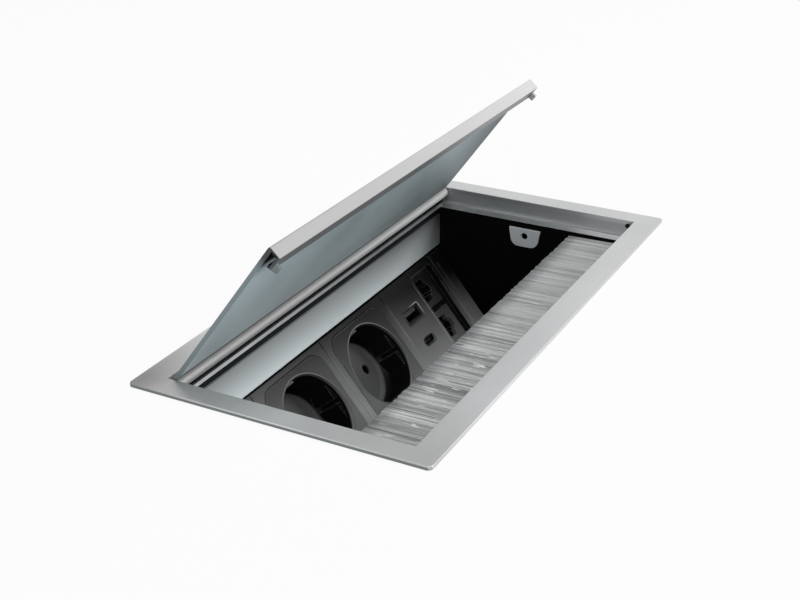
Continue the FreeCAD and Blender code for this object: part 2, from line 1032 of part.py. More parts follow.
def make_strip_apron():
    """A folded strip that closes the gap between the sockets and the floor."""
    body = new_body("strip_apron")
    section = sketch(body, "YZ")
    front = dim.apron_face
    wall = dim.sheet_wall
    floor = -tray_floor
    polygon(
        section,
        [
            (front, floor),
            (front + dim.apron_foot, floor),
            (front + dim.apron_foot, floor + wall),
            (front + wall, floor + wall),
            (front + wall, floor + dim.apron_height),
            (front, floor + dim.apron_height),
        ],
    )
    pad(body, section, (dim.bracket_face - dim.small_gap) * 2, "both")


def make_strip_brackets():
    """Plates that carry the rails, welded to the back wall and the floor."""
    floor = -tray_floor
    seat = -(dim.cover_thick + dim.small_gap)
    low_back, low_level = panel_point(-dim.strip_half, seat)
    high_back, high_level = panel_point(dim.strip_half, seat)
    corner = dim.bracket_corner
    for hand, name in ((-1, "left"), (1, "right")):
        body = new_body("strip_bracket_" + name)
        plate = sketch(body, "YZ", dim.bracket_face * hand)
        polygon(
            plate,
            [
                (low_back + corner, floor),
                (low_back, low_level),
                (high_back, high_level),
                (tray_inner, high_level),
                (tray_inner, floor + corner),
                (tray_inner - corner, floor),
            ],
        )
        circle(plate, dim.cable_hole, dim.mains_inlet_back, -dim.mains_inlet_drop)
        circle(plate, dim.data_inlet_bore, dim.data_inlet_back, -dim.data_inlet_drop)
        for up in (-1, 1):
            back, level = panel_point(rail_middle * up, rail_centre)
            circle(plate, dim.rail_screw_shank + dim.press_gap, back, level)
        pad(body, plate, dim.bracket_thick, "up" if hand > 0 else "down")


def make_rail_screws():
    """Pan-headed screws through the brackets into the ends of the rails."""
    screws = []
    outer = dim.bracket_face + dim.bracket_thick
    for side, name in ((-1, "left"), (1, "right")):
        for up, level_name in ((-1, "bottom"), (1, "top")):
            label = f"rail_screw_{name}_{level_name}"
            head = solid(
                "Cylinder",
                label + "_head",
                Radius=dim.rail_screw_head,
                Height=dim.rail_screw_head_height,
            )
            shank = solid(
                "Cylinder",
                label + "_shank",
                Radius=dim.rail_screw_shank,
                Height=dim.rail_screw_length,
            )
            place(shank, 0, 0, -dim.rail_screw_length)
            key = solid(
                "Prism",
                label + "_key",
                Circumradius=dim.rail_screw_shank,
                Height=dim.rail_screw_head_height,
            )
            key.Polygon = HEX_SIDES
            place(key, 0, 0, dim.rail_screw_head_height / 2)
            blank = joined("Fuse", label + "_blank", head, shank)
            screw = joined("Cut", label, blank, key)
            turn = FreeCAD.Rotation(FreeCAD.Vector(0, 1, 0), 90 * side)
            screw.Placement = FreeCAD.Placement(FreeCAD.Vector(), turn)
            place(screw, outer * side, *panel_point(rail_middle * up, rail_centre))
            screws.append(screw)
    group("rail_screws", screws)


def cover_plate(label, start, end, depth=None):
    """A moulded cover with soft front edges, the width of one module."""
    body = strip_body(label, (start + end) / 2)
    half = (end - start) / 2 - dim.cover_gap
    outline = sketch(body, "XY")
    rectangle(outline, -half, -dim.strip_half, half, dim.strip_half)
    pad(body, outline, depth or dim.cover_thick, "down")
    soften(
        body,
        dim.cover_edge,
        lambda middle, run: close_to(middle.z, 0),
    )
    return body


def hollow_back(body, start, end):
    """Hollows the back of a cover inside a border."""
    half = (end - start) / 2 - dim.cover_gap - dim.cover_border
    reach = dim.strip_half - dim.rail_height
    back = sketch(body, "XY", -dim.cover_thick)
    rectangle(back, -half, -reach, half, reach)
    pocket(body, back, dim.cover_thick - dim.cover_web, "up")


def make_blank_cover():
    body = cover_plate("blank_cover", dim.blank_start, dim.socket_one_start)
    hollow_back(body, dim.blank_start, dim.socket_one_start)


def make_end_caps():
    caps = (
        ("left", dim.cap_left_end, dim.blank_start, -1),
        ("right", dim.data_end, dim.cap_right_end, 1),
    )
    for name, start, end, outward in caps:
        body = strip_body("end_cap_" + name, (start + end) / 2)
        half = (end - start) / 2 - dim.cover_gap
        outline = sketch(body, "XY", -dim.cover_thick)
        rectangle(outline, -half, -dim.strip_half, half, dim.strip_half)
        pad(body, outline, dim.cover_thick + dim.cap_rise)
        soften(
            body,
            dim.cap_edge,
            lambda middle, run: close_to(middle.z, dim.cap_rise),
        )
        slot = sketch(body, "XY", dim.cap_rise)
        centre = (dim.cap_groove_inset + dim.cap_groove_half - half) * outward
        reach = dim.cap_groove_length / 2
        wide = dim.cap_groove_half
        rounded(
            slot, centre - wide, -reach, centre + wide, reach, wide - dim.press_gap
        )
        pocket(body, slot, dim.cap_groove_depth)


def make_socket_cover(number, start, end):
    body = cover_plate(f"socket_cover_{number}", start, end)
    half = dim.frame_square / 2
    opening = sketch(body, "XY")
    rounded(opening, -half, -half, half, half, dim.frame_round)
    pocket(body, opening, dim.cover_face)
    inner = half - dim.frame_lip
    lip = sketch(body, "XY")
    rounded(lip, -inner, -inner, inner, inner, dim.frame_round - dim.frame_lip)
    pocket(body, lip, dim.cover_thick)
    soften(
        body,
        dim.cover_edge / 2,
        lambda middle, run: close_to(middle.z, 0)
        and abs(middle.x) < half.value + TOLERANCE
        and abs(middle.y) < half.value + TOLERANCE,
    )


def make_socket_insert(number, start, end):
    """Rounded square face with the round well moulded into it."""
    body = strip_body(f"socket_insert_{number}", (start + end) / 2)
    half = dim.frame_square / 2 - dim.groove_width
    face = sketch(body, "XY")
    rounded(face, -half, -half, half, half, dim.frame_round - dim.groove_width)
    pad(body, face, dim.cover_face, "down")
    cup = sketch(body, "XZ")
    polygon(
        cup,
        [
            (0, -dim.cover_face / 2),
            (dim.cup_radius, -dim.cover_face / 2),
            (dim.cup_radius, dim.cup_chamfer - dim.cup_depth),
            (dim.cup_radius - dim.cup_chamfer, -dim.cup_depth),
            (0, -dim.cup_depth),
        ],
    )
    revolve(body, cup, "V_Axis")
    well = sketch(body, "XZ")
    polygon(
        well,
        [
            (0, 0),
            (dim.well_radius, 0),
            (dim.well_radius, dim.well_bevel - dim.well_depth),
            (dim.well_radius - dim.well_bevel, -dim.well_depth),
            (0, -dim.well_depth),
        ],
    )
    groove(body, well, "V_Axis")
    soften(
        body,
        dim.well_rim_rise,
        lambda middle, run: close_to(middle.z, 0)
        and close_to(math.hypot(middle.x, middle.y), dim.well_radius),
        "Chamfer",
    )
    bevel_top = dim.well_bevel - dim.well_depth
    soften(
        body,
        dim.well_fillet,
        lambda middle, run: abs(run.z) < 0.001
        and (close_to(middle.z, -dim.well_depth) or close_to(middle.z, bevel_top))
        and math.hypot(middle.x, middle.y) < dim.well_radius.value + TOLERANCE,
    )
    # flat guides at both sides of the well, in pairs with a gap between
    guides = sketch(body, "XY", -dim.well_depth)
    wall = (dim.well_radius + dim.cup_radius) / 2
    for across in (-1, 1):
        for up in (-1, 1):
            left, right = sorted(
                (dim.guide_face * across, wall * across), key=lambda size: size.value
            )
            low, high = sorted(
                (dim.guide_near * up, dim.guide_far * up), key=lambda size: size.value
            )
            rectangle(guides, left, low, right, high)
    pad(body, guides, dim.well_depth - dim.guide_drop)
    holes = sketch(body, "XY", -dim.well_depth)
    for across in (-1, 1):
        circle(holes, dim.pin_hole_radius, dim.pin_pitch / 2 * across)
    pocket(body, holes, dim.well_fillet)
    slots = sketch(body, "XY", -dim.cup_depth)
    for up in (-1, 1):
        low, high = sorted(
            (dim.clip_slot_inner * up, dim.clip_slot_outer * up),
            key=lambda size: size.value,
        )
        rectangle(slots, -dim.clip_slot_half, low, dim.clip_slot_half, high)
    pocket(body, slots, dim.clip_slot_rise, "up")


def make_earth_clip(number, start, end):
    """One bent spring strip: a bridge under the well and an arm at each side."""
    body = strip_body(f"earth_clip_{number}", (start + end) / 2)
    reach = dim.clip_reach
    inner = reach - dim.clip_wall
    elbow = dim.clip_corner - dim.clip_base
    shift = dim.clip_corner_shift
    arm = [
        (reach - dim.clip_corner, -dim.clip_base),
        (reach, elbow),
        (reach, -dim.clip_bend),
        (reach - dim.clip_bow, -dim.clip_contact),
        (reach, -dim.clip_tip),
        (inner, -dim.clip_tip),
        (inner - dim.clip_bow, -dim.clip_contact),
        (inner, -dim.clip_bend),
        (inner, elbow + shift),
        (reach - dim.clip_corner - shift, dim.clip_wall - dim.clip_base),
    ]
    mirrored = [(-up, level) for up, level in reversed(arm)]
    strip = sketch(body, "YZ")
    polygon(strip, arm + mirrored)
    pad(body, strip, dim.clip_half * 2, "both")


def make_contact_sleeves(number, start, end):
    """Slit sleeves behind the pin holes, one for each pin."""
    sleeves = []
    for side, name in ((-1, "left"), (1, "right")):
        outer = solid(
            "Cylinder",
            f"sleeve_outer_{number}_{name}",
            Radius=dim.sleeve_radius,
            Height=dim.sleeve_length,
        )
        bore = solid(
            "Cylinder",
            f"sleeve_bore_{number}_{name}",
            Radius=dim.sleeve_bore,
            Height=dim.sleeve_length,
        )
        place(bore, 0, 0, dim.sleeve_floor)
        slit = solid(
            "Box",
            f"sleeve_slit_{number}_{name}",
            Length=dim.sleeve_radius * 2,
            Width=dim.sleeve_slit,
            Height=dim.sleeve_slit_length,
        )
        place(
            slit,
            -dim.sleeve_radius,
            -dim.sleeve_slit / 2,
            dim.sleeve_length - dim.sleeve_slit_length,
        )
        hollow = joined("Cut", f"sleeve_tube_{number}_{name}", outer, bore)
        sleeve = joined("Cut", f"sleeve_{number}_{name}", hollow, slit)
        place(
            sleeve, dim.pin_pitch / 2 * side, 0, -(dim.cup_depth + dim.sleeve_length)
        )
        sleeves.append(sleeve)
    pair = group(f"contact_sleeves_{number}", sleeves)
    place(pair, (start + end) / 2, dim.strip_back, -dim.strip_drop)
    pair.Placement.Rotation = FreeCAD.Rotation(FreeCAD.Vector(1, 0, 0), 1)
    bind(pair, "Placement.Rotation.Angle", dim.strip_tilt)


# Current bars and their terminal block


def make_bar(label, near, far, level, pins, tab_side):
    """A flat bar beside the sleeves with a tab and a hole at each of its pins."""
    body = strip_body(label)
    outline = sketch(body, "XY", -level)
    wide = dim.bar_tab_half
    end = pins[-1] + wide
    points = [(dim.bar_end, far), (end, far)]
    for pin in reversed(pins):
        points.append((pin + wide, wide * tab_side))
        points.append((pin - wide, wide * tab_side))
        points.append((pin - wide, near))
        if pin is not pins[0]:
            points.append((pins[0] + wide, near))
    points.append((dim.bar_end, near))
    polygon(outline, points)
    for pin in pins:
        circle(outline, dim.sleeve_radius + dim.press_gap, pin)
    pad(body, outline, dim.bar_thick)


def make_current_bars(centres):
    first, second = centres
    reach = dim.pin_pitch / 2
    live_pins = [first - reach, second - reach]
    neutral_pins = [first + reach, second + reach]
    make_bar("live_busbar", dim.live_near, dim.live_far, dim.live_level, live_pins, -1)
    make_bar(
        "neutral_busbar",
        dim.neutral_near,
        dim.neutral_far,
        dim.neutral_level,
        neutral_pins,
        1,
    )
    strap = strip_body("earth_strap")
    outline = sketch(strap, "XY", -dim.earth_level)
    rectangle(
        outline, dim.bar_end, dim.earth_far, second + dim.clip_half, dim.earth_near
    )
    pad(strap, outline, dim.bar_thick)


def make_terminal_block():
    body = strip_body("terminal_block")
    outline = sketch(body, "XY", -dim.block_back)
    rectangle(outline, dim.block_start, dim.block_low, dim.bar_end, dim.block_high)
    pad(body, outline, dim.block_back - dim.cover_web)
    soften(body, dim.cover_edge, lambda middle, run: close_to(middle.z, -dim.block_back))
    entries = sketch(body, "YZ", dim.block_start)
    bars = (
        (dim.live_near, dim.live_far, dim.live_level),
        (dim.neutral_near, dim.neutral_far, dim.neutral_level),
        (dim.earth_near, dim.earth_far, dim.earth_level),
    )
    for near, far, level in bars:
        circle(entries, dim.block_wire_radius, (near + far) / 2, dim.block_wire_radius - level)
    pocket(body, entries, dim.block_wire_depth, "up")


# Charging module


def make_charger():
    start = dim.charger_start
    end = dim.data_start
    middle = (start + end) / 2
    cover = cover_plate("usb_cover", start, end)
    hollow_back(cover, start, end)
    ports = sketch(cover, "XY")
    across_a = dim.port_a_across - middle
    across_c = dim.port_c_across - middle
    half_length = dim.port_a_length / 2
    half_height = dim.port_a_height / 2
    rounded(
        ports,
        across_a - half_length,
        dim.port_a_up - half_height,
        across_a + half_length,
        dim.port_a_up + half_height,
        dim.cover_edge,
    )
    half_length = dim.port_c_length / 2
    half_height = dim.port_c_height / 2
    rounded(
        ports,
        across_c - half_length,
        dim.port_c_up - half_height,
        across_c + half_length,
        dim.port_c_up + half_height,
        half_height - dim.press_gap,
    )
    pocket(cover, ports, dim.cover_web)
    posts = sketch(cover, "XY", -dim.cover_web)
    for across in (-1, 1):
        for up in (dim.post_low, dim.post_high):
            circle(posts, dim.post_radius, dim.post_across * across, up)
    pad(cover, posts, dim.board_level - dim.cover_web, "down")
    port_a = (dim.port_a_across, dim.port_a_up)
    port_c = (dim.port_c_across, dim.port_c_up)
    shells = (
        ("usb_a_shell", port_a, dim.shell_a_length, dim.shell_a_height, 1),
        ("usb_c_shell", port_c, dim.shell_c_length, dim.shell_c_height, 2),
    )
    for label, (across, up), length, height, roundness in shells:
        shell = strip_body(label, across)
        ring = sketch(shell, "XY", -dim.board_level)
        corner = dim.cover_edge * roundness
        for inset in (as_size(0), dim.shell_wall):
            rounded(
                ring,
                inset - length / 2,
                up + inset - height / 2,
                length / 2 - inset,
                up + height / 2 - inset,
                corner + dim.press_gap - inset,
            )
        pad(shell, ring, dim.board_level - dim.shell_front)
    foot_a = (dim.port_a_across, dim.port_a_up + dim.tongue_a_rise)
    foot_c = (dim.port_c_across, dim.port_c_up - dim.tongue_c_height / 2)
    tongues = (
        ("usb_a_tongue", foot_a, dim.tongue_a_length, dim.tongue_a_height),
        ("usb_c_tongue", foot_c, dim.tongue_c_length, dim.tongue_c_height),
    )
    for label, (across, foot), length, height in tongues:
        tongue = strip_body(label, across)
        bar = sketch(tongue, "XY", -dim.board_level)
        rectangle(bar, -length / 2, foot, length / 2, foot + height)
        pad(tongue, bar, dim.board_level - dim.tongue_front)
    board = strip_body("usb_board", middle)
    half = (end - start) / 2 - dim.board_margin
    plate = sketch(board, "XY", -dim.board_level)
    rectangle(plate, -half, dim.board_low, half, dim.board_high)
    pad(board, plate, dim.board_thick, "down")
    coil = sketch(board, "XY", -(dim.board_level + dim.board_thick))
    rectangle(coil, -dim.coil_half, dim.coil_low, dim.coil_half, dim.coil_high)
    pad(board, coil, dim.coil_depth, "down")


# Data module


def make_data_module():
    start = dim.data_start
    end = dim.data_end
    middle = (start + end) / 2
    frame = cover_plate("data_frame", start, end)
    half = (end - start) / 2 - dim.window_margin
    window = sketch(frame, "XY")
    rectangle(window, -half, dim.window_low, half, dim.window_high)
    pocket(frame, window, dim.window_depth)
    openings = sketch(frame, "XY", -dim.window_depth)
    gap = dim.jack_gap
    left = dim.jack_start - middle
    right = left + dim.jack_width
    for up in (dim.jack_upper, dim.jack_lower):
        low = up - dim.jack_half - gap
        high = up + dim.jack_half + gap
        rectangle(openings, left - gap, low, right + gap, high)
    pocket(frame, openings, dim.cover_thick - dim.window_depth)
    wires = []
    for number, up in ((1, dim.jack_upper), (2, dim.jack_lower)):
        jack = strip_body(f"keystone_jack_{number}")
        block = sketch(jack, "XY", -dim.jack_back)
        left = dim.jack_start
        rectangle(
            block, left, up - dim.jack_half, left + dim.jack_width, up + dim.jack_half
        )
        pad(jack, block, dim.jack_back - dim.jack_front)
        soften(
            jack,
            dim.jack_edge,
            lambda middle, run: close_to(middle.z, -dim.jack_front),
        )
        mouth = sketch(jack, "XY", -dim.jack_front)
        first = left + dim.plug_start
        second = first + dim.plug_height
        third = second + dim.plug_step_height
        fourth = third + dim.plug_latch_height
        upper = [
            (first, up + dim.plug_half),
            (second, up + dim.plug_half),
            (second, up + dim.plug_step_half),
            (third, up + dim.plug_step_half),
            (third, up + dim.plug_latch_half),
            (fourth, up + dim.plug_latch_half),
        ]
        lower = [(across, up * 2 - level) for across, level in reversed(upper)]
        polygon(mouth, upper + lower)
        pocket(jack, mouth, dim.plug_depth - dim.jack_front)
        for count in range(CONTACTS):
            wire = solid(
                "Box",
                f"wire_{number}_{count}",
                Length=dim.wire_thick,
                Width=dim.wire_width,
                Height=dim.wire_length,
            )
            offset = dim.wire_pitch * (count - (CONTACTS - 1) / 2) - dim.wire_width / 2
            place(wire, first, up + offset, -dim.wire_back)
            wires.append(wire)
    contacts = group("jack_contacts", wires)
    place(contacts, 0, dim.strip_back, -dim.strip_drop)
    contacts.Placement.Rotation = FreeCAD.Rotation(FreeCAD.Vector(1, 0, 0), 1)
    bind(contacts, "Placement.Rotation.Angle", dim.strip_tilt)


def finish():
    """Tests every object and sub-part, then writes one file for each node."""
    doc.recompute()
    for item in doc.Objects:
        if "Invalid" in item.State or "Error" in item.State:
            raise RuntimeError(f"{item.Label} did not build")
    os.makedirs("parts", exist_ok=True)
    for item in nodes:
        if item.Shape.isNull() or not item.Shape.isValid():
            raise RuntimeError(f"{item.Label} has no valid shape")
    for item in nodes:
        item.Shape.exportStep(f"parts/{item.Label}.step")
        box = item.Shape.BoundBox
        solids = len(item.Shape.Solids)
        print(
            f"{item.Label}: {solids} solid, {box.XLength:.1f} x {box.YLength:.1f}"
            f" x {box.ZLength:.1f}"
        )


make_bezel()
make_grub_screws()
make_lid_panel()
make_hinge()
make_lid_buffers()
make_tray()
make_end_plates()
make_end_plate_screws()
make_fixing_tabs()
make_inlets()
make_rear_trim()
make_brush()
make_strip_rails()
make_strip_apron()
make_strip_brackets()
make_rail_screws()
make_end_caps()
make_blank_cover()
modules = (
    (1, dim.socket_one_start, dim.socket_two_start),
    (2, dim.socket_two_start, dim.charger_start),
)
for module in modules:
    make_socket_cover(*module)
    make_socket_insert(*module)
    make_earth_clip(*module)
    make_contact_sleeves(*module)
make_current_bars([(start + end) / 2 for number, start, end in modules])
make_terminal_block()
make_charger()
make_data_module()
finish()
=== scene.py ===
# %% [markdown]
# # A desk socket module
# A power and data box is let into a desk top. An aluminium frame lies on the
# desk, a hinged lid stands half open over a tilted strip of sockets, and a brush
# closes the front round the cables. The rigid shapes come from the engineering
# model, as one fixed frame in metres. This lesson gives that frame its metals
# and plastics, and builds the pieces that such a model only stands in for.

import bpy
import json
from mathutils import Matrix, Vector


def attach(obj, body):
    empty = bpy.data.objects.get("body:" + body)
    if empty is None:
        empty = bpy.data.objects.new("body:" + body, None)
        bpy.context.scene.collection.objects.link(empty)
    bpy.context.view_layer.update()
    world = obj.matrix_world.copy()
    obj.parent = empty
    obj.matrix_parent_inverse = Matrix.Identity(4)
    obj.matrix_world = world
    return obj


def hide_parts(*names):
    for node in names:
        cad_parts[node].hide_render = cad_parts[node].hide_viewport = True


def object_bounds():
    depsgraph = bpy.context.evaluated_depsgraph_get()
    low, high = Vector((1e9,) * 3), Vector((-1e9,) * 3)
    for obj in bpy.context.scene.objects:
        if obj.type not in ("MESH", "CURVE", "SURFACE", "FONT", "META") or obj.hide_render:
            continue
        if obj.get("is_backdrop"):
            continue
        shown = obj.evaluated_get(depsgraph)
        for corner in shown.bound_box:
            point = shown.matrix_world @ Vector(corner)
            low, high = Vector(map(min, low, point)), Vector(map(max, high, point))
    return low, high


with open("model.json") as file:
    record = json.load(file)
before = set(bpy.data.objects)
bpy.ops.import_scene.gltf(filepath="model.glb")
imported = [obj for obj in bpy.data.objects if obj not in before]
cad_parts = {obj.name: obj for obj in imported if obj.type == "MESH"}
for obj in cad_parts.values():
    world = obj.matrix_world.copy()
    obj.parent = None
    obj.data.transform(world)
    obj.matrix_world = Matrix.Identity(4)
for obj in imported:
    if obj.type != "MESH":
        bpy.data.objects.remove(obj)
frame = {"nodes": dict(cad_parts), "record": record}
cad_low, cad_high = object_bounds()
print("nodes:", len(frame["nodes"]))

# %% The tools of the lesson
import json
import math
import random

import bpy
from mathutils import Matrix, Vector

MM = 0.001
scene = bpy.context.scene
nodes = frame["nodes"]

# %% [markdown]
# ## The camera
# The photograph was taken with a long lens from the left front, so the long
# lines of the frame hardly converge. The camera's place was worked out from the
# corners of the frame. Its lens is given for a sensor 36 mm wide.

# %% Place the camera
CAMERA_PLACE = Vector((-467.7, -231.2, 245.1)) * MM
CAMERA_AIM = Vector((-14.56, 6.58, 1.5)) * MM
LENS = 60.78
SENSOR = 36.0

camera_data = bpy.data.cameras.new("camera")
camera_data.sensor_width = SENSOR
camera_data.lens = LENS
camera_data.clip_start = 0.01
camera = bpy.data.objects.new("camera", camera_data)
scene.collection.objects.link(camera)
camera.location = CAMERA_PLACE
aim = CAMERA_AIM - camera.location
camera.rotation_mode = "QUATERNION"
camera.rotation_quaternion = aim.to_track_quat("-Z", "Y")
scene.camera = camera
print("camera is", round(aim.length, 3), "m from the point it looks at")

# %% [markdown]
# ## Wiring helpers
# A material is a small diagram of nodes. These helpers keep the wiring short:
# one adds a node and links or sets its inputs, one does a sum, one mixes two
# colours, and others read where a point is and which way its surface faces. A
# node group is an effect with named inputs and outputs, built once and placed
# with its own values in every material that needs it.

# %% Add nodes
def node_in(tree, kind, inputs=None, **settings):
    node = tree.nodes.new(kind)
    for name, value in settings.items():
        setattr(node, name, value)
    for name, value in (inputs or {}).items():
        if isinstance(value, bpy.types.NodeSocket):
            tree.links.new(value, node.inputs[name])
        else:
            node.inputs[name].default_value = value
    return node


def sum_in(tree, operation, *values, clamp=False):
    terms = dict(enumerate(values))
    node = node_in(tree, "ShaderNodeMath", terms, operation=operation, use_clamp=clamp)
    return node.outputs[0]


def mix_in(tree, factor, first, second):
    mix = node_in(tree, "ShaderNodeMix", {0: factor}, data_type="RGBA")
    for index, value in ((6, first), (7, second)):
        if isinstance(value, bpy.types.NodeSocket):
            tree.links.new(value, mix.inputs[index])
        else:
            mix.inputs[index].default_value = (*value, 1)
    return mix.outputs[2]


def spread_in(tree, value, low, high, new_low, new_high):
    limits = {"Value": value, "From Min": low, "From Max": high}
    limits.update({"To Min": new_low, "To Max": new_high})
    return node_in(tree, "ShaderNodeMapRange", limits).outputs[0]


# %% Read places and directions
def vector_in(tree, operation, *values):
    terms = dict(enumerate(values))
    return node_in(tree, "ShaderNodeVectorMath", terms, operation=operation).outputs[0]


def place_in(tree):
    """The place of the point in object space."""
    return node_in(tree, "ShaderNodeTexCoord").outputs["Object"]


def normal_in(tree):
    """The way the surface faces."""
    return node_in(tree, "ShaderNodeNewGeometry").outputs["Normal"]


def axes_in(tree, vector):
    return node_in(tree, "ShaderNodeSeparateXYZ", {0: vector}).outputs


# %% Open a node group
FLOAT = "NodeSocketFloat"
COLOUR = "NodeSocketColor"
VECTOR = "NodeSocketVector"
GREY = (0.5, 0.5, 0.5, 1)


def open_group(name, inputs, outputs):
    tree = bpy.data.node_groups.new(name, "ShaderNodeTree")
    for label, kind, value in inputs:
        socket = tree.interface.new_socket(label, in_out="INPUT", socket_type=kind)
        socket.default_value = value
    for label, kind in outputs:
        tree.interface.new_socket(label, in_out="OUTPUT", socket_type=kind)
    enter = node_in(tree, "NodeGroupInput").outputs
    leave = node_in(tree, "NodeGroupOutput").inputs
    return tree, enter, leave


def noise_in(tree, vector, scale, detail):
    values = {"Vector": vector, "Scale": scale, "Detail": detail}
    return node_in(tree, "ShaderNodeTexNoise", values).outputs["Fac"]


def scaled_in(tree, colour, gain):
    values = {0: colour, "Scale": gain}
    return node_in(tree, "ShaderNodeVectorMath", values, operation="SCALE").outputs[0]


# %% [markdown]
# ## Effect: fine grain
# Moulded plastic and powder coat are never quite even. A soft noise shifts the
# colour by a few percent, and a fine one gives the tiny hills that break up a
# highlight. Both are read in object space, so they stay on the part.

# %% Build the fine grain group
def build_grain():
    tree, enter, leave = open_group(
        "fine_grain",
        [("Colour", COLOUR, GREY), ("Size", FLOAT, 2500.0), ("Contrast", FLOAT, 0.1)],
        [("Colour", COLOUR), ("Height", FLOAT), ("Mottle", FLOAT)],
    )
    place = place_in(tree)
    cloud = noise_in(tree, place, 70.0, 4.0)
    speck = noise_in(tree, place, enter["Size"], 2.0)
    swing = spread_in(tree, sum_in(tree, "ADD", cloud, speck), 0.6, 1.4, -1.0, 1.0)
    gain = sum_in(tree, "MULTIPLY_ADD", swing, enter["Contrast"], 1.0)
    tree.links.new(scaled_in(tree, enter["Colour"], gain), leave["Colour"])
    tree.links.new(speck, leave["Height"])
    tree.links.new(cloud, leave["Mottle"])
    return tree


GRAIN = build_grain()
print("group:", GRAIN.name)

# %% [markdown]
# ## Effect: brushed lines
# Rolled and anodised aluminium keeps fine lines along the run of the metal.
# Noise that is squeezed across the run and stretched along it draws them. The
# lines change the roughness more than the colour, as they do on real metal.

# %% Build the brushed lines group
def build_lines():
    tree, enter, leave = open_group(
        "brushed_lines",
        [
            ("Colour", COLOUR, GREY),
            ("Squeeze", VECTOR, (30.0, 4000.0, 4000.0)),
            ("Contrast", FLOAT, 0.08),
            ("Roughness", FLOAT, 0.4),
        ],
        [("Colour", COLOUR), ("Roughness", FLOAT), ("Height", FLOAT)],
    )
    place = place_in(tree)
    drawn = vector_in(tree, "MULTIPLY", place, enter["Squeeze"])
    line = noise_in(tree, drawn, 1.0, 3.0)
    haze = noise_in(tree, place, 25.0, 3.0)
    swing = spread_in(tree, line, 0.3, 0.7, -1.0, 1.0)
    gain = sum_in(tree, "MULTIPLY_ADD", swing, enter["Contrast"], 1.0)
    cloudy = spread_in(tree, haze, 0.3, 0.7, 0.9, 1.1)
    uneven = sum_in(tree, "MULTIPLY", gain, cloudy)
    rough = sum_in(tree, "MULTIPLY", uneven, enter["Roughness"], clamp=True)
    tree.links.new(scaled_in(tree, enter["Colour"], gain), leave["Colour"])
    tree.links.new(rough, leave["Roughness"])
    tree.links.new(line, leave["Height"])
    return tree


LINES = build_lines()
print("group:", LINES.name)

# %% [markdown]
# ## Effect: worn edges
# Edges catch hands and cables, and end up a little lighter than the faces. The
# Bevel node looks at the surface as if its edges were rounded. Where that
# differs from the true surface there is an edge, and a noise breaks it up.

# %% Build the worn edges group
def build_wear():
    tree, enter, leave = open_group(
        "worn_edges",
        [
            ("Colour", COLOUR, GREY),
            ("Worn", COLOUR, (0.7, 0.7, 0.7, 1)),
            ("Width", FLOAT, 0.0003),
            ("Amount", FLOAT, 0.5),
        ],
        [("Colour", COLOUR)],
    )
    soft = node_in(tree, "ShaderNodeBevel", {"Radius": enter["Width"]}, samples=4)
    pair = {0: soft.outputs[0], 1: normal_in(tree)}
    likeness = node_in(tree, "ShaderNodeVectorMath", pair, operation="DOT_PRODUCT")
    edge = spread_in(tree, likeness.outputs["Value"], 0.95, 0.75, 0.0, 1.0)
    cloud = noise_in(tree, place_in(tree), 180.0, 4.0)
    patches = spread_in(tree, cloud, 0.3, 0.6, 0.35, 1.0)
    worn = sum_in(tree, "MULTIPLY", edge, patches)
    mask = sum_in(tree, "MULTIPLY", worn, enter["Amount"], clamp=True)
    tree.links.new(mix_in(tree, mask, enter["Colour"], enter["Worn"]), leave["Colour"])
    return tree


WEAR = build_wear()
print("group:", WEAR.name)

# %% [markdown]
# ## Two kinds of finish
# Nearly all of this object is either metal or moulded plastic, so two functions
# make most of its materials. Each places the shared groups with its own values
# and sends them to one Principled shader. What is even over the surface, such as
# Metallic, is set on the shader itself. Lines in a metal spread its highlights
# across them. The cross product of the surface's normal and the run of the lines
# points that way, and it goes to the shader's Tangent. The run is tilted a little,
# so that the product isn't zero on a face that looks straight along the lines.

# %% Start a material
def open_material(name, **constants):
    material = bpy.data.materials.new(name)
    material.use_nodes = True
    tree = material.node_tree
    shader = tree.nodes["Principled BSDF"]
    for label, value in constants.items():
        shader.inputs[label.replace("_", " ")].default_value = value
    return material, tree, shader.inputs


def group_in(tree, group, inputs):
    node = node_in(tree, "ShaderNodeGroup", node_tree=group)
    for name, value in inputs.items():
        if isinstance(value, bpy.types.NodeSocket):
            tree.links.new(value, node.inputs[name])
        elif isinstance(value, tuple) and node.inputs[name].type == "RGBA":
            node.inputs[name].default_value = (*value, 1)
        else:
            node.inputs[name].default_value = value
    return node.outputs


HILLS = 0.05 * MM


def bump_in(tree, height, strength):
    values = {"Height": height, "Strength": strength, "Distance": HILLS}
    return node_in(tree, "ShaderNodeBump", values).outputs[0]


def across_in(tree, run):
    return vector_in(tree, "CROSS_PRODUCT", normal_in(tree), run)


def range_in(tree, value, start, end):
    """From 0 at start to 1 at end, both in millimetres."""
    return spread_in(tree, value, start * MM, end * MM, 0.0, 1.0)


def all_in(tree, *masks):
    """Where all of the masks hold."""
    both = masks[0]
    for mask in masks[1:]:
        both = sum_in(tree, "MULTIPLY", both, mask)
    return both


def steps_in(tree, value, start, end, levels):
    """A level that runs through the given ones, at even distances from start to end."""
    share = range_in(tree, value, start, end)
    ramp = node_in(tree, "ShaderNodeValToRGB", {0: share})
    stops = ramp.color_ramp.elements
    while len(stops) < len(levels):
        stops.new(0.5)
    for number, level in enumerate(levels):
        stops[number].position = number / (len(levels) - 1)
        stops[number].color = (level, level, level, 1)
    return ramp.outputs[0]


# %% Metal and moulded plastic
ALONG_X = (30.0, 4000.0, 4000.0)
ALONG_Y = (4000.0, 30.0, 4000.0)
RUN_X = (1.0, 0.15, 0.0)
RUN_Y = (0.15, 1.0, 0.0)
METAL_WEAR = 0.4
METAL_BUMP = 0.15
PLASTIC_WEAR = 0.3
PLASTIC_BUMP = 0.25


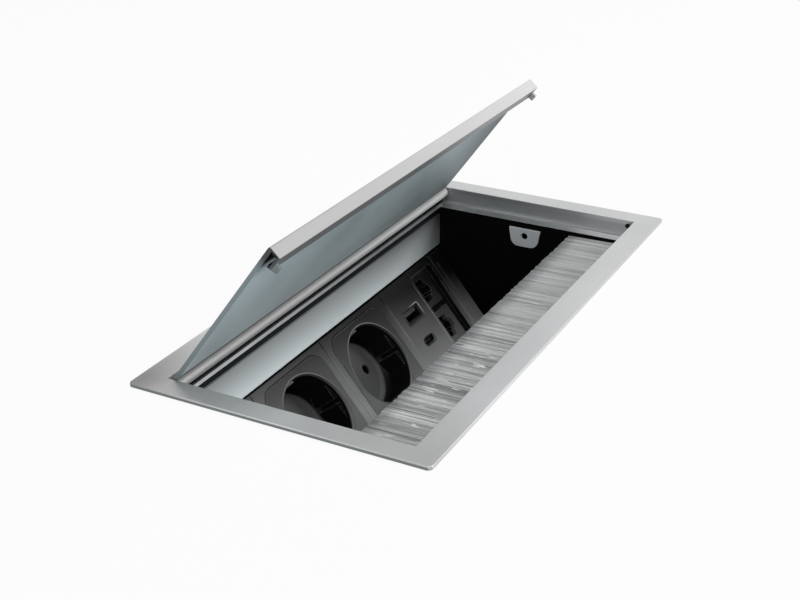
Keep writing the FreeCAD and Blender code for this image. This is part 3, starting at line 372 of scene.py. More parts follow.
def metal(
    name, colour, roughness, contrast=0.06, squeeze=ALONG_X, metallic=1.0, spread=0.6, tone=None
):
    material, tree, shader = open_material(name, Metallic=metallic, Anisotropic=spread)
    run = RUN_X if squeeze == ALONG_X else RUN_Y
    tree.links.new(across_in(tree, run), shader["Tangent"])
    toned = tone(tree, colour) if tone else colour
    lines = {"Colour": toned, "Squeeze": squeeze, "Contrast": contrast, "Roughness": roughness}
    drawn = group_in(tree, LINES, lines)
    light = tuple(min(1.0, part * 1.25 + 0.05) for part in colour)
    worn = {"Colour": drawn["Colour"], "Worn": light, "Amount": METAL_WEAR}
    tree.links.new(group_in(tree, WEAR, worn)["Colour"], shader["Base Color"])
    tree.links.new(drawn["Roughness"], shader["Roughness"])
    tree.links.new(bump_in(tree, drawn["Height"], METAL_BUMP), shader["Normal"])
    return material


def moulded(name, colour, roughness, size=2500.0, contrast=0.08, gloss=0.5, tone=None):
    material, tree, shader = open_material(name, Metallic=0.0, Specular_IOR_Level=gloss)
    toned = tone(tree, colour) if tone else colour
    grain = group_in(tree, GRAIN, {"Colour": toned, "Size": size, "Contrast": contrast})
    light = tuple(min(1.0, part * 1.8 + 0.03) for part in colour)
    worn = {"Colour": grain["Colour"], "Worn": light, "Amount": PLASTIC_WEAR}
    tree.links.new(group_in(tree, WEAR, worn)["Colour"], shader["Base Color"])
    uneven = spread_in(tree, grain["Mottle"], 0.3, 0.7, roughness - 0.05, roughness + 0.05)
    tree.links.new(uneven, shader["Roughness"])
    tree.links.new(bump_in(tree, grain["Height"], PLASTIC_BUMP), shader["Normal"])
    return material


# %% [markdown]
# ## Tones along a profile
# Each face of the frame's and the trim's profiles carries painted light and
# shade. On the frame a painted highlight makes the rail at the foot of the inner
# wall the brightest. Behind the hinge that painted highlight fades to the far
# end, and the groove above it is painted nearly black as shade. The inner wall
# is painted darker towards the brush. The near short side is painted darker than
# the rest as shade, most of all at its ends, which takes a colour ramp with a
# stop for each part of its length, and its thin outer edge is darker still. The
# trim's face is painted paler at its foot, its upper part is painted darker to
# the far end, and the rear of its top ledge is painted into the dark groove as
# shade. Ranges of the object's coordinates mark those faces.

# %% Tone the frame
# Colours and levels of painted light and shade on the frame and the trim.
PAINTED_GROOVE_SHADE = (0.036, 0.043, 0.046)
NEAR_SIDE_SHADE_LEVELS = (0.47, 0.52, 0.56, 0.66, 0.60, 0.50, 0.28)
OUTER_EDGE = (0.20, 0.22, 0.225)
PAINTED_RAIL_HIGHLIGHT = (0.95, 0.96, 0.96)
HINGE_RAIL_HIGHLIGHT_NEAR = (0.76, 0.79, 0.80)
HINGE_RAIL_HIGHLIGHT_FAR = (0.38, 0.40, 0.41)


def gained(colour, gain):
    return tuple(part * gain for part in colour)


def frame_tone(tree, colour):
    at = axes_in(tree, place_in(tree))
    # Painted shade: the near short side is darker, by a ramp along its length.
    near = range_in(tree, at["X"], -75.0, -118.0)
    side = mix_in(tree, near, colour, steps_in(tree, at["Y"], -60.0, 60.0, NEAR_SIDE_SHADE_LEVELS))
    wall = range_in(tree, at["Z"], -0.6, -1.2)
    # Painted shade: the inner wall is darker towards the brush.
    toward_brush = range_in(tree, at["Y"], 10.0, -40.0)
    inner = mix_in(tree, toward_brush, gained(colour, 1.1), gained(colour, 0.78))
    inside = mix_in(tree, wall, side, inner)
    # Painted highlight on the rail at the foot of the inner wall, fading behind the hinge to the
    # far end.
    behind = range_in(tree, at["Y"], 49.8, 49.95)
    far = range_in(tree, at["X"], -60.0, 100.0)
    bright = mix_in(tree, behind, PAINTED_RAIL_HIGHLIGHT, mix_in(tree, far, HINGE_RAIL_HIGHLIGHT_NEAR, HINGE_RAIL_HIGHLIGHT_FAR))
    rail = mix_in(tree, range_in(tree, at["Z"], -6.4, -6.8), inside, bright)
    # Painted shade: the groove above the rail behind the hinge is nearly black.
    groove = all_in(tree, wall, behind, range_in(tree, at["Z"], -7.6, -7.1))
    toned = mix_in(tree, groove, rail, PAINTED_GROOVE_SHADE)
    edge = range_in(tree, at["X"], -124.7, -124.9), range_in(tree, at["Z"], 1.4, 1.0)
    return mix_in(tree, all_in(tree, *edge), toned, OUTER_EDGE)


# %% Tone the trim
def trim_tone(tree, colour):
    at = axes_in(tree, place_in(tree))
    # Painted light and shade: the upper part of the face darkens to the far end, so the foot is
    # paler.
    far = range_in(tree, at["X"], 10.0, 110.0)
    high = mix_in(tree, far, gained(colour, 0.45), gained(colour, 0.18))
    face = mix_in(tree, range_in(tree, at["Z"], -13.0, -28.0), high, colour)
    # Painted shade: the rear of the top ledge is painted into the dark groove.
    ledge = range_in(tree, at["Z"], -13.0, -12.9), range_in(tree, at["Y"], 51.0, 51.4)
    return mix_in(tree, all_in(tree, *ledge), face, PAINTED_GROOVE_SHADE)


# %% [markdown]
# ## The finishes of this object
# The frame, the lid and the trim are satin anodised aluminium. The covers and the
# socket inserts are graphite plastic, and the box is black powder coat. The small
# metal pieces deep inside get their own finish too, since they show through the
# openings; the brass, spring steel and plated shell are coloured very dark, as
# painted shade.

# %% Mix the finishes
finishes = {
    "frame_aluminium": metal(
        "satin_frame", (0.62, 0.625, 0.63), 0.52, 0.04, spread=0.8, tone=frame_tone
    ),
    "trim_aluminium": metal(
        "satin_trim", (0.84, 0.90, 0.91), 0.80, 0.02, metallic=0.75, spread=0.9, tone=trim_tone
    ),
    "holder_aluminium": metal("holder_metal", (0.35, 0.36, 0.37), 0.45),
    "black_steel": moulded("black_powder_coat", (0.002, 0.002, 0.0024), 0.8, 1800.0, gloss=0.02),
    "black_plastic": moulded("black_end_plastic", (0.004, 0.004, 0.004), 0.7, 2200.0, gloss=0.05),
    "tab_grey": moulded("grey_tab", (0.84, 0.89, 0.91), 0.4, 2600.0, 0.04),
    "steel_screw": metal("black_screw_steel", (0.03, 0.03, 0.03), 0.45),
    "steel_pin": metal("ground_steel", (0.55, 0.55, 0.55), 0.25),
    "bush_plastic": moulded("bush_plastic", (0.05, 0.05, 0.05), 0.45),
    "rubber": moulded("soft_rubber", (0.02, 0.02, 0.021), 0.75, 1500.0),
    # Painted shade: brass, spring steel and plated shell are far darker than the bare metals, as
    # in the shade deep in the openings.
    "brass": metal("brass_painted_dark", (0.07, 0.055, 0.035), 0.55),
    "spring_steel": metal("spring_steel", (0.09, 0.09, 0.088), 0.5, squeeze=ALONG_Y),
    "block_plastic": moulded("block_plastic", (0.42, 0.42, 0.40), 0.5),
    "shell_steel": metal("plated_shell", (0.09, 0.09, 0.092), 0.45),
    "tongue_plastic": moulded("tongue_plastic", (0.04, 0.04, 0.04), 0.5),
    "circuit_board": moulded("board_lacquer", (0.010, 0.022, 0.014), 0.4),
    "gold": metal("gold_plating", (0.85, 0.60, 0.22), 0.25, squeeze=ALONG_Y),
}
print("finishes:", len(finishes))

# %% [markdown]
# ## The strip's plastics
# The covers, socket inserts and jacks are graphite plastic. The lid shades the
# top of the strip, so their faces carry painted shade: they are black at the top
# and grow lighter downwards. They do so at a slant: a share of the place along
# the strip is added to the height, which puts the palest spot in the low near
# corner, and a power bends the change. The edges where two covers meet carry fine
# pale lines of painted highlight. The walls of the wells and windows are smoother
# and painted dark as shade, and a well's floor is grained and paler. Turned into
# the strip's own coordinates, a point's depth says which of the three it belongs
# to.

# %% Measure on a tilted piece
STRIP_TILT = math.radians(50.0)
STRIP_BASE = Vector((0.0, 33.1, -50.0)) * MM


def tilted_in(tree, base, angle):
    """The axes of a piece that stands at a base, turned about its long axis."""
    from_base = vector_in(tree, "SUBTRACT", place_in(tree), base)
    turn = {"Vector": from_base, "Angle": angle, "Axis": (1.0, 0.0, 0.0)}
    return axes_in(tree, node_in(tree, "ShaderNodeVectorRotate", turn).outputs[0])


def seams_in(tree, value, spots):
    """Lines where the value is at a spot, each with its own half width and strength."""
    lines = 0.0
    for spot, half, strength in spots:
        line = sum_in(tree, "COMPARE", value, spot * MM, half * MM)
        lines = sum_in(tree, "MAXIMUM", lines, sum_in(tree, "MULTIPLY", line, strength))
    return lines


# %% Mix the strip's plastics
# The near black of the walls below the faces is painted shade, and the pale seam colour is a
# painted highlight.
RECESS_SHADE = (0.006, 0.006, 0.006)
SEAM_HIGHLIGHT = (0.85, 0.85, 0.85)
SLANT = 0.15
LIGHT_REACH = (30.0, -12.0)
LIGHT_BEND = 1.75
SEAM_REACH = (22.0, 2.0)
NO_FLOOR = -40.0


def strip_plastic(name, face, sunk, floor=RECESS_SHADE, floor_at=NO_FLOOR, seams=()):
    """A face down to the height sunk, then walls painted dark as shade down to the floor."""
    material, tree, shader = open_material(name, Metallic=0.0, Specular_IOR_Level=0.15)
    at = tilted_in(tree, STRIP_BASE, -STRIP_TILT)
    slanted = sum_in(tree, "MULTIPLY_ADD", at["X"], SLANT, at["Y"])
    # Painted shade: black at the top of the strip, under the lid, and lighter downwards.
    lower = sum_in(tree, "POWER", range_in(tree, slanted, *LIGHT_REACH), LIGHT_BEND)
    faces = mix_in(tree, lower, (0.0, 0.0, 0.0), face)
    # Painted highlight: fine pale lines where two covers meet.
    seam_highlight = seams_in(tree, at["X"], seams)
    seam_highlight = all_in(tree, seam_highlight, range_in(tree, at["Y"], *SEAM_REACH))
    faces = mix_in(tree, seam_highlight, faces, SEAM_HIGHLIGHT)
    # Painted shade: the walls below the face are near black; a floor keeps its own colour.
    deep = range_in(tree, at["Z"], sunk, sunk - 0.5)
    bottom = range_in(tree, at["Z"], floor_at, floor_at - 0.8)
    toned = mix_in(tree, bottom, mix_in(tree, deep, faces, RECESS_SHADE), floor)
    grain = group_in(tree, GRAIN, {"Colour": toned, "Size": 3200.0, "Contrast": 0.06})
    # These worn edges are wider and paler than elsewhere: partly wear, partly a painted highlight
    # along the edges.
    light = tuple(min(0.6, part * 2.0 + 0.05) for part in face)
    worn = {"Colour": grain["Colour"], "Worn": light, "Amount": 0.6, "Width": 0.4 * MM}
    tree.links.new(group_in(tree, WEAR, worn)["Colour"], shader["Base Color"])
    uneven = spread_in(tree, grain["Mottle"], 0.3, 0.7, 0.45, 0.55)
    rough = sum_in(tree, "MULTIPLY_ADD", deep, -0.12, uneven)
    tree.links.new(rough, shader["Roughness"])
    tree.links.new(bump_in(tree, grain["Height"], PLASTIC_BUMP), shader["Normal"])
    return material


# Each line of painted highlight: its place along the strip, half width and strength.
COVER_SEAMS = (
    (-11.0, 0.2, 0.35),
    (-10.0, 0.2, 0.35),
    (44.4, 0.2, 0.35),
    (45.4, 0.2, 0.35),
    (73.1, 0.3, 0.9),
)
finishes["cover_graphite"] = strip_plastic(
    "graphite_cover", (0.66, 0.66, 0.662), sunk=-0.9, seams=COVER_SEAMS
)
finishes["insert_graphite"] = strip_plastic(
    "graphite_insert", (0.37, 0.37, 0.372), sunk=-1.0, floor=(0.23, 0.23, 0.232), floor_at=-15.6
)
finishes["jack_graphite"] = strip_plastic("graphite_jack", (0.36, 0.36, 0.36), sunk=-3.2)


# %% Mix the rims and port frames
def painted_corner_highlight(tree, colour):
    """Painted highlight at the top far corner only; the rest is dark."""
    at = axes_in(tree, place_in(tree))
    corner = range_in(tree, sum_in(tree, "ADD", at["X"], at["Y"]), 2.0, 8.0)
    return mix_in(tree, corner, (0.05, 0.05, 0.05), colour)


finishes["rim_graphite"] = moulded("graphite_rim", (0.22, 0.22, 0.222), 0.55, 3200.0)
finishes["port_graphite"] = moulded(
    "graphite_port", (0.38, 0.38, 0.38), 0.5, 3200.0, tone=painted_corner_highlight
)
print("finishes:", len(finishes))

# %% [markdown]
# ## The lid's two tones
# The underside of the lid is a cooler, bluer grey than its lip and hinge bead,
# and it is painted darker towards the far end as shade. A Vector Rotate node
# turns the object's coordinates into the lid's own, as if it lay shut, and
# simple ranges of those coordinates mark the underside, the bead with its
# painted highlight and the painted shade of the valley at its foot, and the
# painted shade behind the lip. The lip is painted paler towards the far end and
# darker at its foot. The underside counts as less metallic at the far end and by
# the hinge. The sawn ends of the lid are duller than its rolled faces, most of
# all by the lip, and there the surface normal points along the hinge. The hollow
# in the lip, a range of both coordinates, is painted dark as shade.

# %% Tone the lid's lip and bead
LID_OPEN = math.radians(54.0)
HINGE = Vector((0.0, 49.0, -1.2)) * MM


def lip_painted_light(tree, at, along, below_top, under, cool):
    """The lip painted paler to the far end, its foot painted darker, and painted shade where it
    meets the underside.
    """
    # Painted light: the lip is paler towards the far end.
    lip = mix_in(tree, along, (0.43, 0.43, 0.43), (0.75, 0.75, 0.75))
    behind_lip = range_in(tree, at["Y"], -78.3, -78.0)
    # Painted shade: the lip's foot is darker.
    foot = all_in(tree, behind_lip, range_in(tree, at["Z"], -2.2, -2.4))
    toned = mix_in(tree, foot, mix_in(tree, under, lip, cool), (0.22, 0.23, 0.235))
    # Painted shade where the lip meets the underside.
    shade = range_in(tree, at["Y"], -68.4, -71.4), range_in(tree, at["Z"], 0.1, 0.3)
    shaded = all_in(tree, behind_lip, below_top, *shade)
    return mix_in(tree, shaded, toned, (0.03, 0.03, 0.03))


def bead_painted_light(tree, at, along, below_top, toned):
    """The bead by the hinge, with painted shade at its foot and a painted highlight on its curve.
    """
    # Painted shade in the valley at the bead's foot, and a painted highlight on its curve.
    near_bead = all_in(tree, range_in(tree, at["Y"], -5.6, -4.6), below_top)
    flank = range_in(tree, at["Y"], -4.8, -2.6)
    curve = range_in(tree, at["Z"], 0.5, -1.2)
    rise = sum_in(tree, "MULTIPLY_ADD", flank, 0.6, sum_in(tree, "MULTIPLY", curve, 0.4))
    bright = mix_in(tree, along, (0.48, 0.47, 0.47), (0.80, 0.80, 0.80))
    return mix_in(tree, near_bead, toned, mix_in(tree, rise, (0.12, 0.13, 0.135), bright))


# %% Tone the lid's sawn ends and hollow
def sawn_tone(tree, at, toned):
    sideways = axes_in(tree, normal_in(tree))["X"]
    cut = spread_in(tree, sum_in(tree, "ABSOLUTE", sideways), 0.7, 0.95, 0.0, 1.0)
    toward_lip = range_in(tree, at["Y"], -68.0, -74.0)
    sawn = mix_in(tree, toward_lip, (0.24, 0.29, 0.31), (0.09, 0.095, 0.10))
    return mix_in(tree, cut, toned, sawn)


def painted_hollow_shade(tree, at, toned):
    # Painted shade: the hollow in the lip is near black.
    deep = sum_in(tree, "COMPARE", at["Y"], -74.9 * MM, 3.25 * MM)
    level = sum_in(tree, "COMPARE", at["Z"], -0.65 * MM, 1.4 * MM)
    return mix_in(tree, all_in(tree, deep, level), toned, (0.012, 0.012, 0.012))


# %% Mix the lid's finish
def lid_metal():
    material, tree, shader = open_material("satin_lid", Anisotropic=0.8, Specular_IOR_Level=0.0)
    tree.links.new(across_in(tree, RUN_X), shader["Tangent"])
    at = tilted_in(tree, HINGE, LID_OPEN)
    along = range_in(tree, at["X"], -114.0, 114.0)
    up = range_in(tree, at["Y"], 0.0, -79.0)
    below_top = range_in(tree, at["Z"], 2.1, 1.7)
    under = all_in(tree, range_in(tree, at["Y"], -71.2, -69.2), below_top)
    # Painted shade: the underside darkens towards the far end.
    fade = sum_in(tree, "MULTIPLY_ADD", along, 0.92, sum_in(tree, "MULTIPLY", up, 0.08))
    fade = sum_in(tree, "POWER", fade, 2.3)
    near_end = mix_in(tree, up, (0.64, 0.73, 0.75), (0.58, 0.71, 0.75))
    cool = mix_in(tree, fade, near_end, (0.07, 0.085, 0.095))
    toned = lip_painted_light(tree, at, along, below_top, under, cool)
    toned = bead_painted_light(tree, at, along, below_top, toned)
    toned = painted_hollow_shade(tree, at, sawn_tone(tree, at, toned))
    lines = {"Colour": toned, "Squeeze": ALONG_X, "Contrast": 0.03, "Roughness": 0.52}
    drawn = group_in(tree, LINES, lines)
    worn = {"Colour": drawn["Colour"], "Worn": (0.75, 0.75, 0.75), "Amount": 0.35}
    tree.links.new(group_in(tree, WEAR, worn)["Colour"], shader["Base Color"])
    tree.links.new(drawn["Roughness"], shader["Roughness"])
    tree.links.new(bump_in(tree, drawn["Height"], 0.06), shader["Normal"])
    bare = sum_in(tree, "MULTIPLY", up, sum_in(tree, "SUBTRACT", 1.0, fade))
    beneath = sum_in(tree, "MULTIPLY_ADD", bare, 0.42, -0.32)
    tree.links.new(sum_in(tree, "MULTIPLY_ADD", under, beneath, 0.9), shader["Metallic"])
    return material


finishes["lid_aluminium"] = lid_metal()
print("lid finish:", finishes["lid_aluminium"].name)

# %% [markdown]
# ## The brush's fibres
# The brush is grey nylon, and its fibres are dull at the sides. Streaks along
# the fibres change both the colour and the roughness: the colour streaks are
# partly the fibres' own uneven tone and partly painted highlight where a bundle
# turns towards the light. Towards the near end the fibres clump, and the streaks
# are stronger there. A few short spots are painted white as glints and count as
# metal, so they shine like a mirror.

# %% Mix the fibre finish
STRANDS = (1500.0, 18.0, 300.0)
BUNDLES = (260.0, 9.0, 40.0)
SPOTS = (650.0, 120.0, 1.0)


def fibre_finish():
    material, tree, shader = open_material("nylon_fibre", Sheen_Weight=0.15)
    place = place_in(tree)
    strand = noise_in(tree, vector_in(tree, "MULTIPLY", place, STRANDS), 1.0, 2.0)
    bundle = noise_in(tree, vector_in(tree, "MULTIPLY", place, BUNDLES), 1.0, 3.0)
    spot = noise_in(tree, vector_in(tree, "MULTIPLY", place, SPOTS), 1.0, 1.0)
    # The streaks are partly the fibres' own uneven tone and partly painted highlight.
    mixed = sum_in(tree, "MULTIPLY_ADD", strand, 0.5, bundle)
    along = axes_in(tree, place)["X"]
    even = spread_in(tree, mixed, 0.5, 1.05, 0.0, 1.0)
    even = mix_in(tree, even, (0.58, 0.58, 0.582), (0.99, 0.99, 0.995))
    clumped = spread_in(tree, mixed, 0.58, 0.86, 0.0, 1.0)
    clumped = mix_in(tree, clumped, (0.46, 0.46, 0.462), (1.0, 1.0, 1.0))
    dull = mix_in(tree, range_in(tree, along, 40.0, -30.0), even, clumped)
    # Painted glints: short spots made white and metallic.
    glint = spread_in(tree, spot, 0.64, 0.68, 0.0, 1.0)
    glint = all_in(tree, glint, range_in(tree, along, 90.0, -40.0))
    colour = mix_in(tree, glint, dull, (1.0, 1.0, 1.0))
    tree.links.new(colour, shader["Base Color"])
    tree.links.new(glint, shader["Metallic"])
    tree.links.new(spread_in(tree, bundle, 0.35, 0.7, 0.62, 0.30), shader["Roughness"])
    return material


finishes["brush_fibre"] = fibre_finish()
print("finishes:", len(finishes))


# %% Give every node its finish
def painted_buffer_light(tree, colour):
    """Painted light: the buffer is paler towards the far end."""
    # Painted light: paler towards the far end.
    far = range_in(tree, axes_in(tree, place_in(tree))["X"], -50.0, 100.0)
    return mix_in(tree, far, colour, (0.62, 0.64, 0.65))


for part in frame["record"]["subparts"]:
    for place in nodes[part["node"]].material_slots:
        place.material = finishes[part["material_slot"]]
nodes["lid_buffers"].material_slots[0].material = moulded(
    "grey_rubber", (0.22, 0.25, 0.26), 0.7, 1500.0, tone=painted_buffer_light
)

# %% [markdown]
# ## Soft edges on the rigid pieces
# A real edge is never sharp, and its small round catches a line of light. The
# rigid pieces keep their meshes and get a stack of three modifiers: one welds the
# facets together, one rounds the edges, and one keeps the broad faces flat.

# %% Round the edges
EDGES = {
    "bezel": 0.15, "lid_panel": 0.18, "rear_trim": 0.15, "box_tray": 0.15,
    "socket_insert_1": 0.22, "socket_insert_2": 0.22, "fixing_tab_left": 0.2,
    "fixing_tab_right": 0.2, "end_plate_left": 0.2, "end_plate_right": 0.2,
    "data_frame": 0.12, "keystone_jack_1": 0.12, "keystone_jack_2": 0.12,
    "usb_cover": 0.12, "strip_bracket_left": 0.1, "strip_bracket_right": 0.1,
    "strip_apron": 0.1, "terminal_block": 0.2, "brush_holder": 0.12,
}


def round_edges(piece, width):
    weld = piece.modifiers.new("weld", "WELD")
    weld.merge_threshold = 0.002 * MM
    bevel = piece.modifiers.new("round_edges", "BEVEL")
    bevel.width = width * MM
    bevel.segments = 2
    bevel.limit_method = "ANGLE"
    bevel.angle_limit = math.radians(32)
    bevel.miter_outer = "MITER_ARC"
    normals = piece.modifiers.new("keep_faces_flat", "WEIGHTED_NORMAL")
    normals.keep_sharp = False
    normals.weight = 80


for name, width in EDGES.items():
    round_edges(nodes[name], width)
print("rounded:", len(EDGES), "nodes")

# %% [markdown]
# ## Helpers for new pieces
# A new piece is a mesh or a curve. It gets a finish and rides on a body of the
# frame. The pieces on the strip are made flat, and a matrix moves them to the
# strip and tilts them.

# %% Add a piece
ROOT = "root"


def add_piece(name, data, finish, place=Matrix.Identity(4)):
    data.materials.append(finishes[finish])
    piece = bpy.data.objects.new(name, data)
    scene.collection.objects.link(piece)
    piece.matrix_world = place
    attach(piece, ROOT)
    return piece


def strip_place(across, up=0.0, out=0.0):
    """From the strip's own frame, x along it and z out of it, to the whole model."""
    base = Matrix.Translation(STRIP_BASE)
    turn = Matrix.Rotation(STRIP_TILT, 4, "X")
    return base @ turn @ Matrix.Translation(Vector((across, up, out)) * MM)


# %% [markdown]
# ## The brush
# The real brush is a few thousand nylon fibres clamped in a metal channel. Fibres
# stand in bundles, so the bundles get the large differences, such as lean, height
# and length, and each fibre adds a little of its own. A fibre is a thin three
# sided tube that droops under its own weight. Its radius shrinks to the tip.

# %% Plan the bundles
BRUSH_ROOT = -56.5
BRUSH_TIP = -20.4
BRUSH_HALF = 112.4
BRUSH_TOP = -10.62
END_GAP = 0.6
chance = random.Random(7)


def plan_bundles():
    bundles = []
    across = -BRUSH_HALF + END_GAP
    while across < BRUSH_HALF - END_GAP:
        width = chance.uniform(0.9, 2.4)
        bundles.append(
            {
                "across": across + width / 2,
                "half": width / 2 * chance.uniform(0.86, 1.04),
                "lean": chance.gauss(0.0, 0.25),
                "height": chance.uniform(-0.16, 0.08),
                "tip": chance.gauss(0.0, 0.10),
            }
        )
        across += width
    return bundles


bundles = plan_bundles()
print("bundles:", len(bundles))

# %% Draw the fibres
RINGS = 6
SIDES = 3
ROOT_RADIUS = 0.115
TAPER = 0.035


def fibre_line(bundle):
    start = bundle["across"] + chance.uniform(-1, 1) * bundle["half"]
    lean = bundle["lean"] + chance.gauss(0.0, 0.08)
    tip = BRUSH_TIP + bundle["tip"] + chance.gauss(0.0, 0.07)
    level = BRUSH_TOP - chance.random() * 0.62
    sag = chance.uniform(0.25, 0.55) - bundle["height"]
    line = []
    for ring in range(RINGS):
        part = ring / (RINGS - 1)
        x = start + lean * part * part
        x = max(-BRUSH_HALF, min(BRUSH_HALF, x))
        y = BRUSH_ROOT + (tip - BRUSH_ROOT) * part
        line.append(Vector((x, y, level - sag * part * part)) * MM)
    return line


def add_fibre(points, faces, line):
    base = len(points)
    for ring, centre in enumerate(line):
        radius = (ROOT_RADIUS - TAPER * ring / (RINGS - 1)) * MM
        for side in range(SIDES):
            angle = math.radians(90 + 360 / SIDES * side)
            offset = Vector((math.cos(angle), 0.0, math.sin(angle))) * radius
            points.append(centre + offset)
    for ring in range(RINGS - 1):
        for side in range(SIDES):
            low = base + ring * SIDES + side
            beside = base + ring * SIDES + (side + 1) % SIDES
            faces.append((low, beside, beside + SIDES, low + SIDES))
    tip = base + (RINGS - 1) * SIDES
    faces.append(tuple(range(tip, tip + SIDES)))


# %% Fill the bundles
FIBRES = 34
USUAL_HALF = 0.8
FEWEST = 8


def build_brush():
    points, faces = [], []
    for bundle in bundles:
        count = max(FEWEST, round(FIBRES * bundle["half"] / USUAL_HALF))
        for _ in range(count):
            add_fibre(points, faces, fibre_line(bundle))
    mesh = bpy.data.meshes.new("brush_fibres")
    mesh.from_pydata([tuple(point) for point in points], [], faces)
    for polygon in mesh.polygons:
        polygon.use_smooth = True
    return add_piece("brush_fibres", mesh, "brush_fibre")


brush = build_brush()
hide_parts("brush_bristles")
print("fibres:", len(brush.data.vertices) // (RINGS * SIDES))

# %% [markdown]
# ## Rims round the round wells
# Each well has a fine raised rim that shows as a thin, slightly paler ring. It is
# a small half round drawn once and spun by a Screw modifier, the quickest way to
# turn a profile into a ring that stays editable.

# %% Spin the rims
SOCKET_PLACES = (-38.2, 17.2)
RIM_RADIUS = 20.35
RIM_BEAD = 0.30
RIM_RISE = 0.6
RIM_SUNK = 0.04
BEAD_STEPS = 6
RIM_STEPS = 96


def spun_rim(name, across):
    points = []
    for step in range(BEAD_STEPS + 1):
        angle = math.pi * step / BEAD_STEPS
        out = math.sin(angle) * RIM_BEAD * RIM_RISE - RIM_SUNK
        points.append(Vector((RIM_RADIUS + math.cos(angle) * RIM_BEAD, 0.0, out)) * MM)
    mesh = bpy.data.meshes.new(name)
    mesh.from_pydata(points, [(step, step + 1) for step in range(BEAD_STEPS)], [])
    rim = add_piece(name, mesh, "rim_graphite", strip_place(across))
    spin = rim.modifiers.new("spin", "SCREW")
    spin.angle = math.tau
    spin.steps = RIM_STEPS
    spin.render_steps = RIM_STEPS
    spin.use_merge_vertices = True
    spin.merge_threshold = 0.005 * MM
    spin.use_smooth_shade = True
    return rim


for number, across in enumerate(SOCKET_PLACES, start=1):
    rim = spun_rim(f"well_rim_{number}", across)
    print(rim.name, "at", round(across, 1), "mm")

# %% [markdown]
# ## Raised frames round the charging ports
# The type A opening has a raised frame with a painted highlight at its top
# corner, and the type C opening has a finer one. A closed curve with a round
# section follows the outline of the opening, which is simpler than a mesh and as
# smooth.

# %% Bend the frames
CORNER_STEPS = 4


def port_outline(length, height, corner):
    """Points round an oblong with rounded corners, one quarter after another."""
    spots = []
    for quarter in range(4):
        right = 1 if quarter in (0, 3) else -1
        top = 1 if quarter in (0, 1) else -1
        for step in range(CORNER_STEPS + 1):
            angle = math.radians(90 * quarter + 90 / CORNER_STEPS * step)
            x = right * (length / 2 - corner) + math.cos(angle) * corner
            y = top * (height / 2 - corner) + math.sin(angle) * corner
            spots.append((x * MM, y * MM, 0.0))
    return spots


def port_frame(name, across, up, length, height, corner, thick):
    curve = bpy.data.curves.new(name, "CURVE")
    curve.dimensions = "3D"
    curve.bevel_depth = thick * MM
    curve.bevel_resolution = 3
    spots = port_outline(length, height, corner)
    line = curve.splines.new("POLY")
    line.points.add(len(spots) - 1)
    for point, spot in zip(line.points, spots):
        point.co = (*spot, 1.0)
    line.use_cyclic_u = True
    line.use_smooth = True
    place = strip_place(across, up, thick * 0.15)
    return add_piece(name, curve, "port_graphite", place)


port_frames = [
    port_frame("usb_a_frame", 59.2, 7.75, length=15.5, height=7.5, corner=0.9, thick=0.42),
    port_frame("usb_c_frame", 58.8, -7.1, length=10.2, height=4.3, corner=2.1, thick=0.26),
]
print("port frames:", len(port_frames))

# %% [markdown]
# ## The desk
# The module is let into a desk, so the floor of this scene is the desk top: a
# pale board just under the flange, with a cut-out for the box. It isn't part of
# the object. Towards the camera, in reflections and through glass its face shows
# as white, and a share of plain shading keeps the object's soft shadow. The sawn
# sides of the cut-out and the underside are a dark core board, so that no light
# comes through the screw holes of the box.

# %% Lay the desk
DESK_SIZE = 3.0
CUT_LENGTH = 0.238
CUT_WIDTH = 0.1215
DESK_LEVEL = -0.0002
BOARD = 0.028
DESK_GLOW = 0.93


def desk_top():
    points, faces = [], []
    for half_x, half_y, level in (
        (DESK_SIZE, DESK_SIZE, DESK_LEVEL),
        (CUT_LENGTH / 2, CUT_WIDTH / 2, DESK_LEVEL),
        (CUT_LENGTH / 2, CUT_WIDTH / 2, DESK_LEVEL - BOARD),
        (DESK_SIZE, DESK_SIZE, DESK_LEVEL - BOARD),
    ):
        for x, y in ((-1, -1), (1, -1), (1, 1), (-1, 1)):
            points.append((x * half_x, y * half_y, level))
    for ring in range(3):
        for side in range(4):
            low, beside = ring * 4 + side, ring * 4 + (side + 1) % 4
            faces.append((low, beside, beside + 4, low + 4))
    mesh = bpy.data.meshes.new("desk")
    mesh.from_pydata(points, [], faces)
    for polygon in mesh.polygons:
        polygon.material_index = 0 if polygon.index < 4 else 1
    desk = bpy.data.objects.new("desk", mesh)
    scene.collection.objects.link(desk)
    desk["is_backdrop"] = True
    return desk


desk = desk_top()


def white_to_camera(tree, strength=1.0):
    """How much a ray should see plain white: the camera's, and reflected ones."""
    path = node_in(tree, "ShaderNodeLightPath").outputs
    rays = sum_in(tree, "MAXIMUM", path["Is Camera Ray"], path["Is Glossy Ray"])
    rays = sum_in(tree, "MAXIMUM", rays, path["Is Transmission Ray"])
    return sum_in(tree, "MULTIPLY", rays, strength)


def desk_finish():
    material = bpy.data.materials.new("desk_white")
    material.use_nodes = True
    tree = material.node_tree
    tree.nodes.clear()
    plain = node_in(tree, "ShaderNodeBsdfDiffuse", {"Color": (0.9, 0.9, 0.9, 1)})
    glow = node_in(tree, "ShaderNodeEmission", {"Color": (1, 1, 1, 1), "Strength": 1.0})
    white = white_to_camera(tree, DESK_GLOW)
    share = {0: white, 1: plain.outputs[0], 2: glow.outputs[0]}
    both = node_in(tree, "ShaderNodeMixShader", share)
    node_in(tree, "ShaderNodeOutputMaterial", {"Surface": both.outputs[0]})
    return material


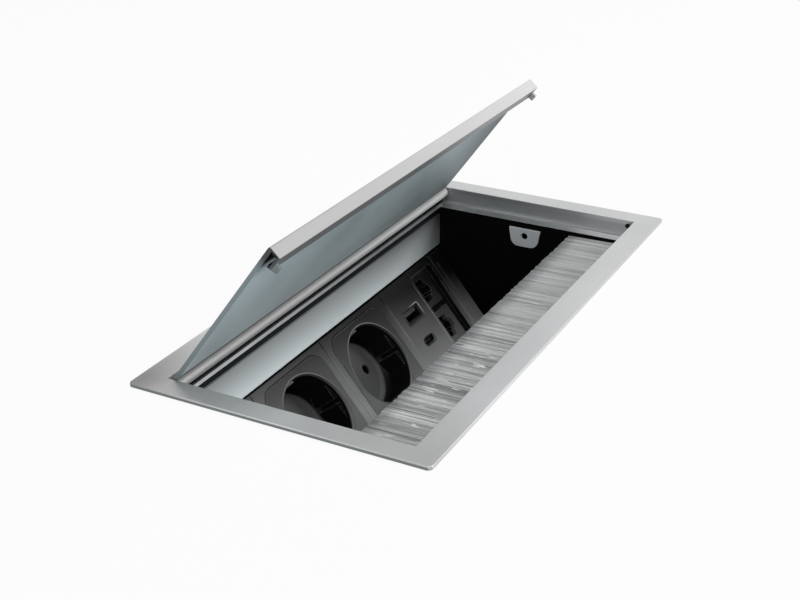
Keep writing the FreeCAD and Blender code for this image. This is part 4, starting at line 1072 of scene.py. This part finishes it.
desk.data.materials.append(desk_finish())
desk.data.materials.append(moulded("core_board", (0.04, 0.04, 0.04), 0.9, 900.0))
print("desk is", DESK_SIZE * 2, "m wide")

# %% [markdown]
# ## Light
# The photograph is lit by a broad soft source high above the right front. The lid
# keeps it off the top of the strip, and the wells' right walls stay black. One
# large lamp gives that light. A smaller one lower in front and a weak one at the
# left light the faces that stand upright, and an even surround lifts the rest a
# little. Metal sees a white room all round, which is what makes it bright.

# %% Set the world
def surround(level):
    world = bpy.data.worlds.new("studio")
    scene.world = world
    world.use_nodes = True
    tree = world.node_tree
    tree.nodes.clear()
    white = white_to_camera(tree)
    strength = spread_in(tree, white, 0.0, 1.0, level, 1.0)
    glow = {"Color": (1, 1, 1, 1), "Strength": strength}
    back = node_in(tree, "ShaderNodeBackground", glow)
    node_in(tree, "ShaderNodeOutputWorld", {"Surface": back.outputs[0]})


surround(level=0.32)
print("world:", scene.world.name)

# %% Hang the lamps
LAMPS = {
    "key_lamp": {"place": (0.40, -0.30, 1.12), "power": 4.0, "size": 0.9},
    "front_lamp": {"place": (0.58, -1.00, 0.52), "power": 5.8, "size": 0.5},
    "left_lamp": {"place": (-1.00, -0.45, 0.60), "power": 2.5, "size": 0.7},
}


def soft_lamp(name, place, power, size):
    lamp = bpy.data.lights.new(name, "AREA")
    lamp.shape = "DISK"
    lamp.size = size
    lamp.energy = power
    holder = bpy.data.objects.new(name, lamp)
    scene.collection.objects.link(holder)
    holder.location = place
    holder.rotation_mode = "QUATERNION"
    holder.rotation_quaternion = (-Vector(place)).to_track_quat("-Z", "Y")


for name, values in LAMPS.items():
    soft_lamp(name, **values)
scene.view_settings.view_transform = "Standard"
print("lamps:", len(LAMPS))

# %% [markdown]
# ## Last measures
# The dressed part is measured against the engineering model: both boxes are
# measured, and the ratio of their sizes is printed. The dressed part must not
# outgrow the engineering model.

# %% Measure and finish
new_low, new_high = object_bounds()
grown = [round((new_high[i] - new_low[i]) / (cad_high[i] - cad_low[i]), 4) for i in range(3)]
print("visual size against the model's:", grown)
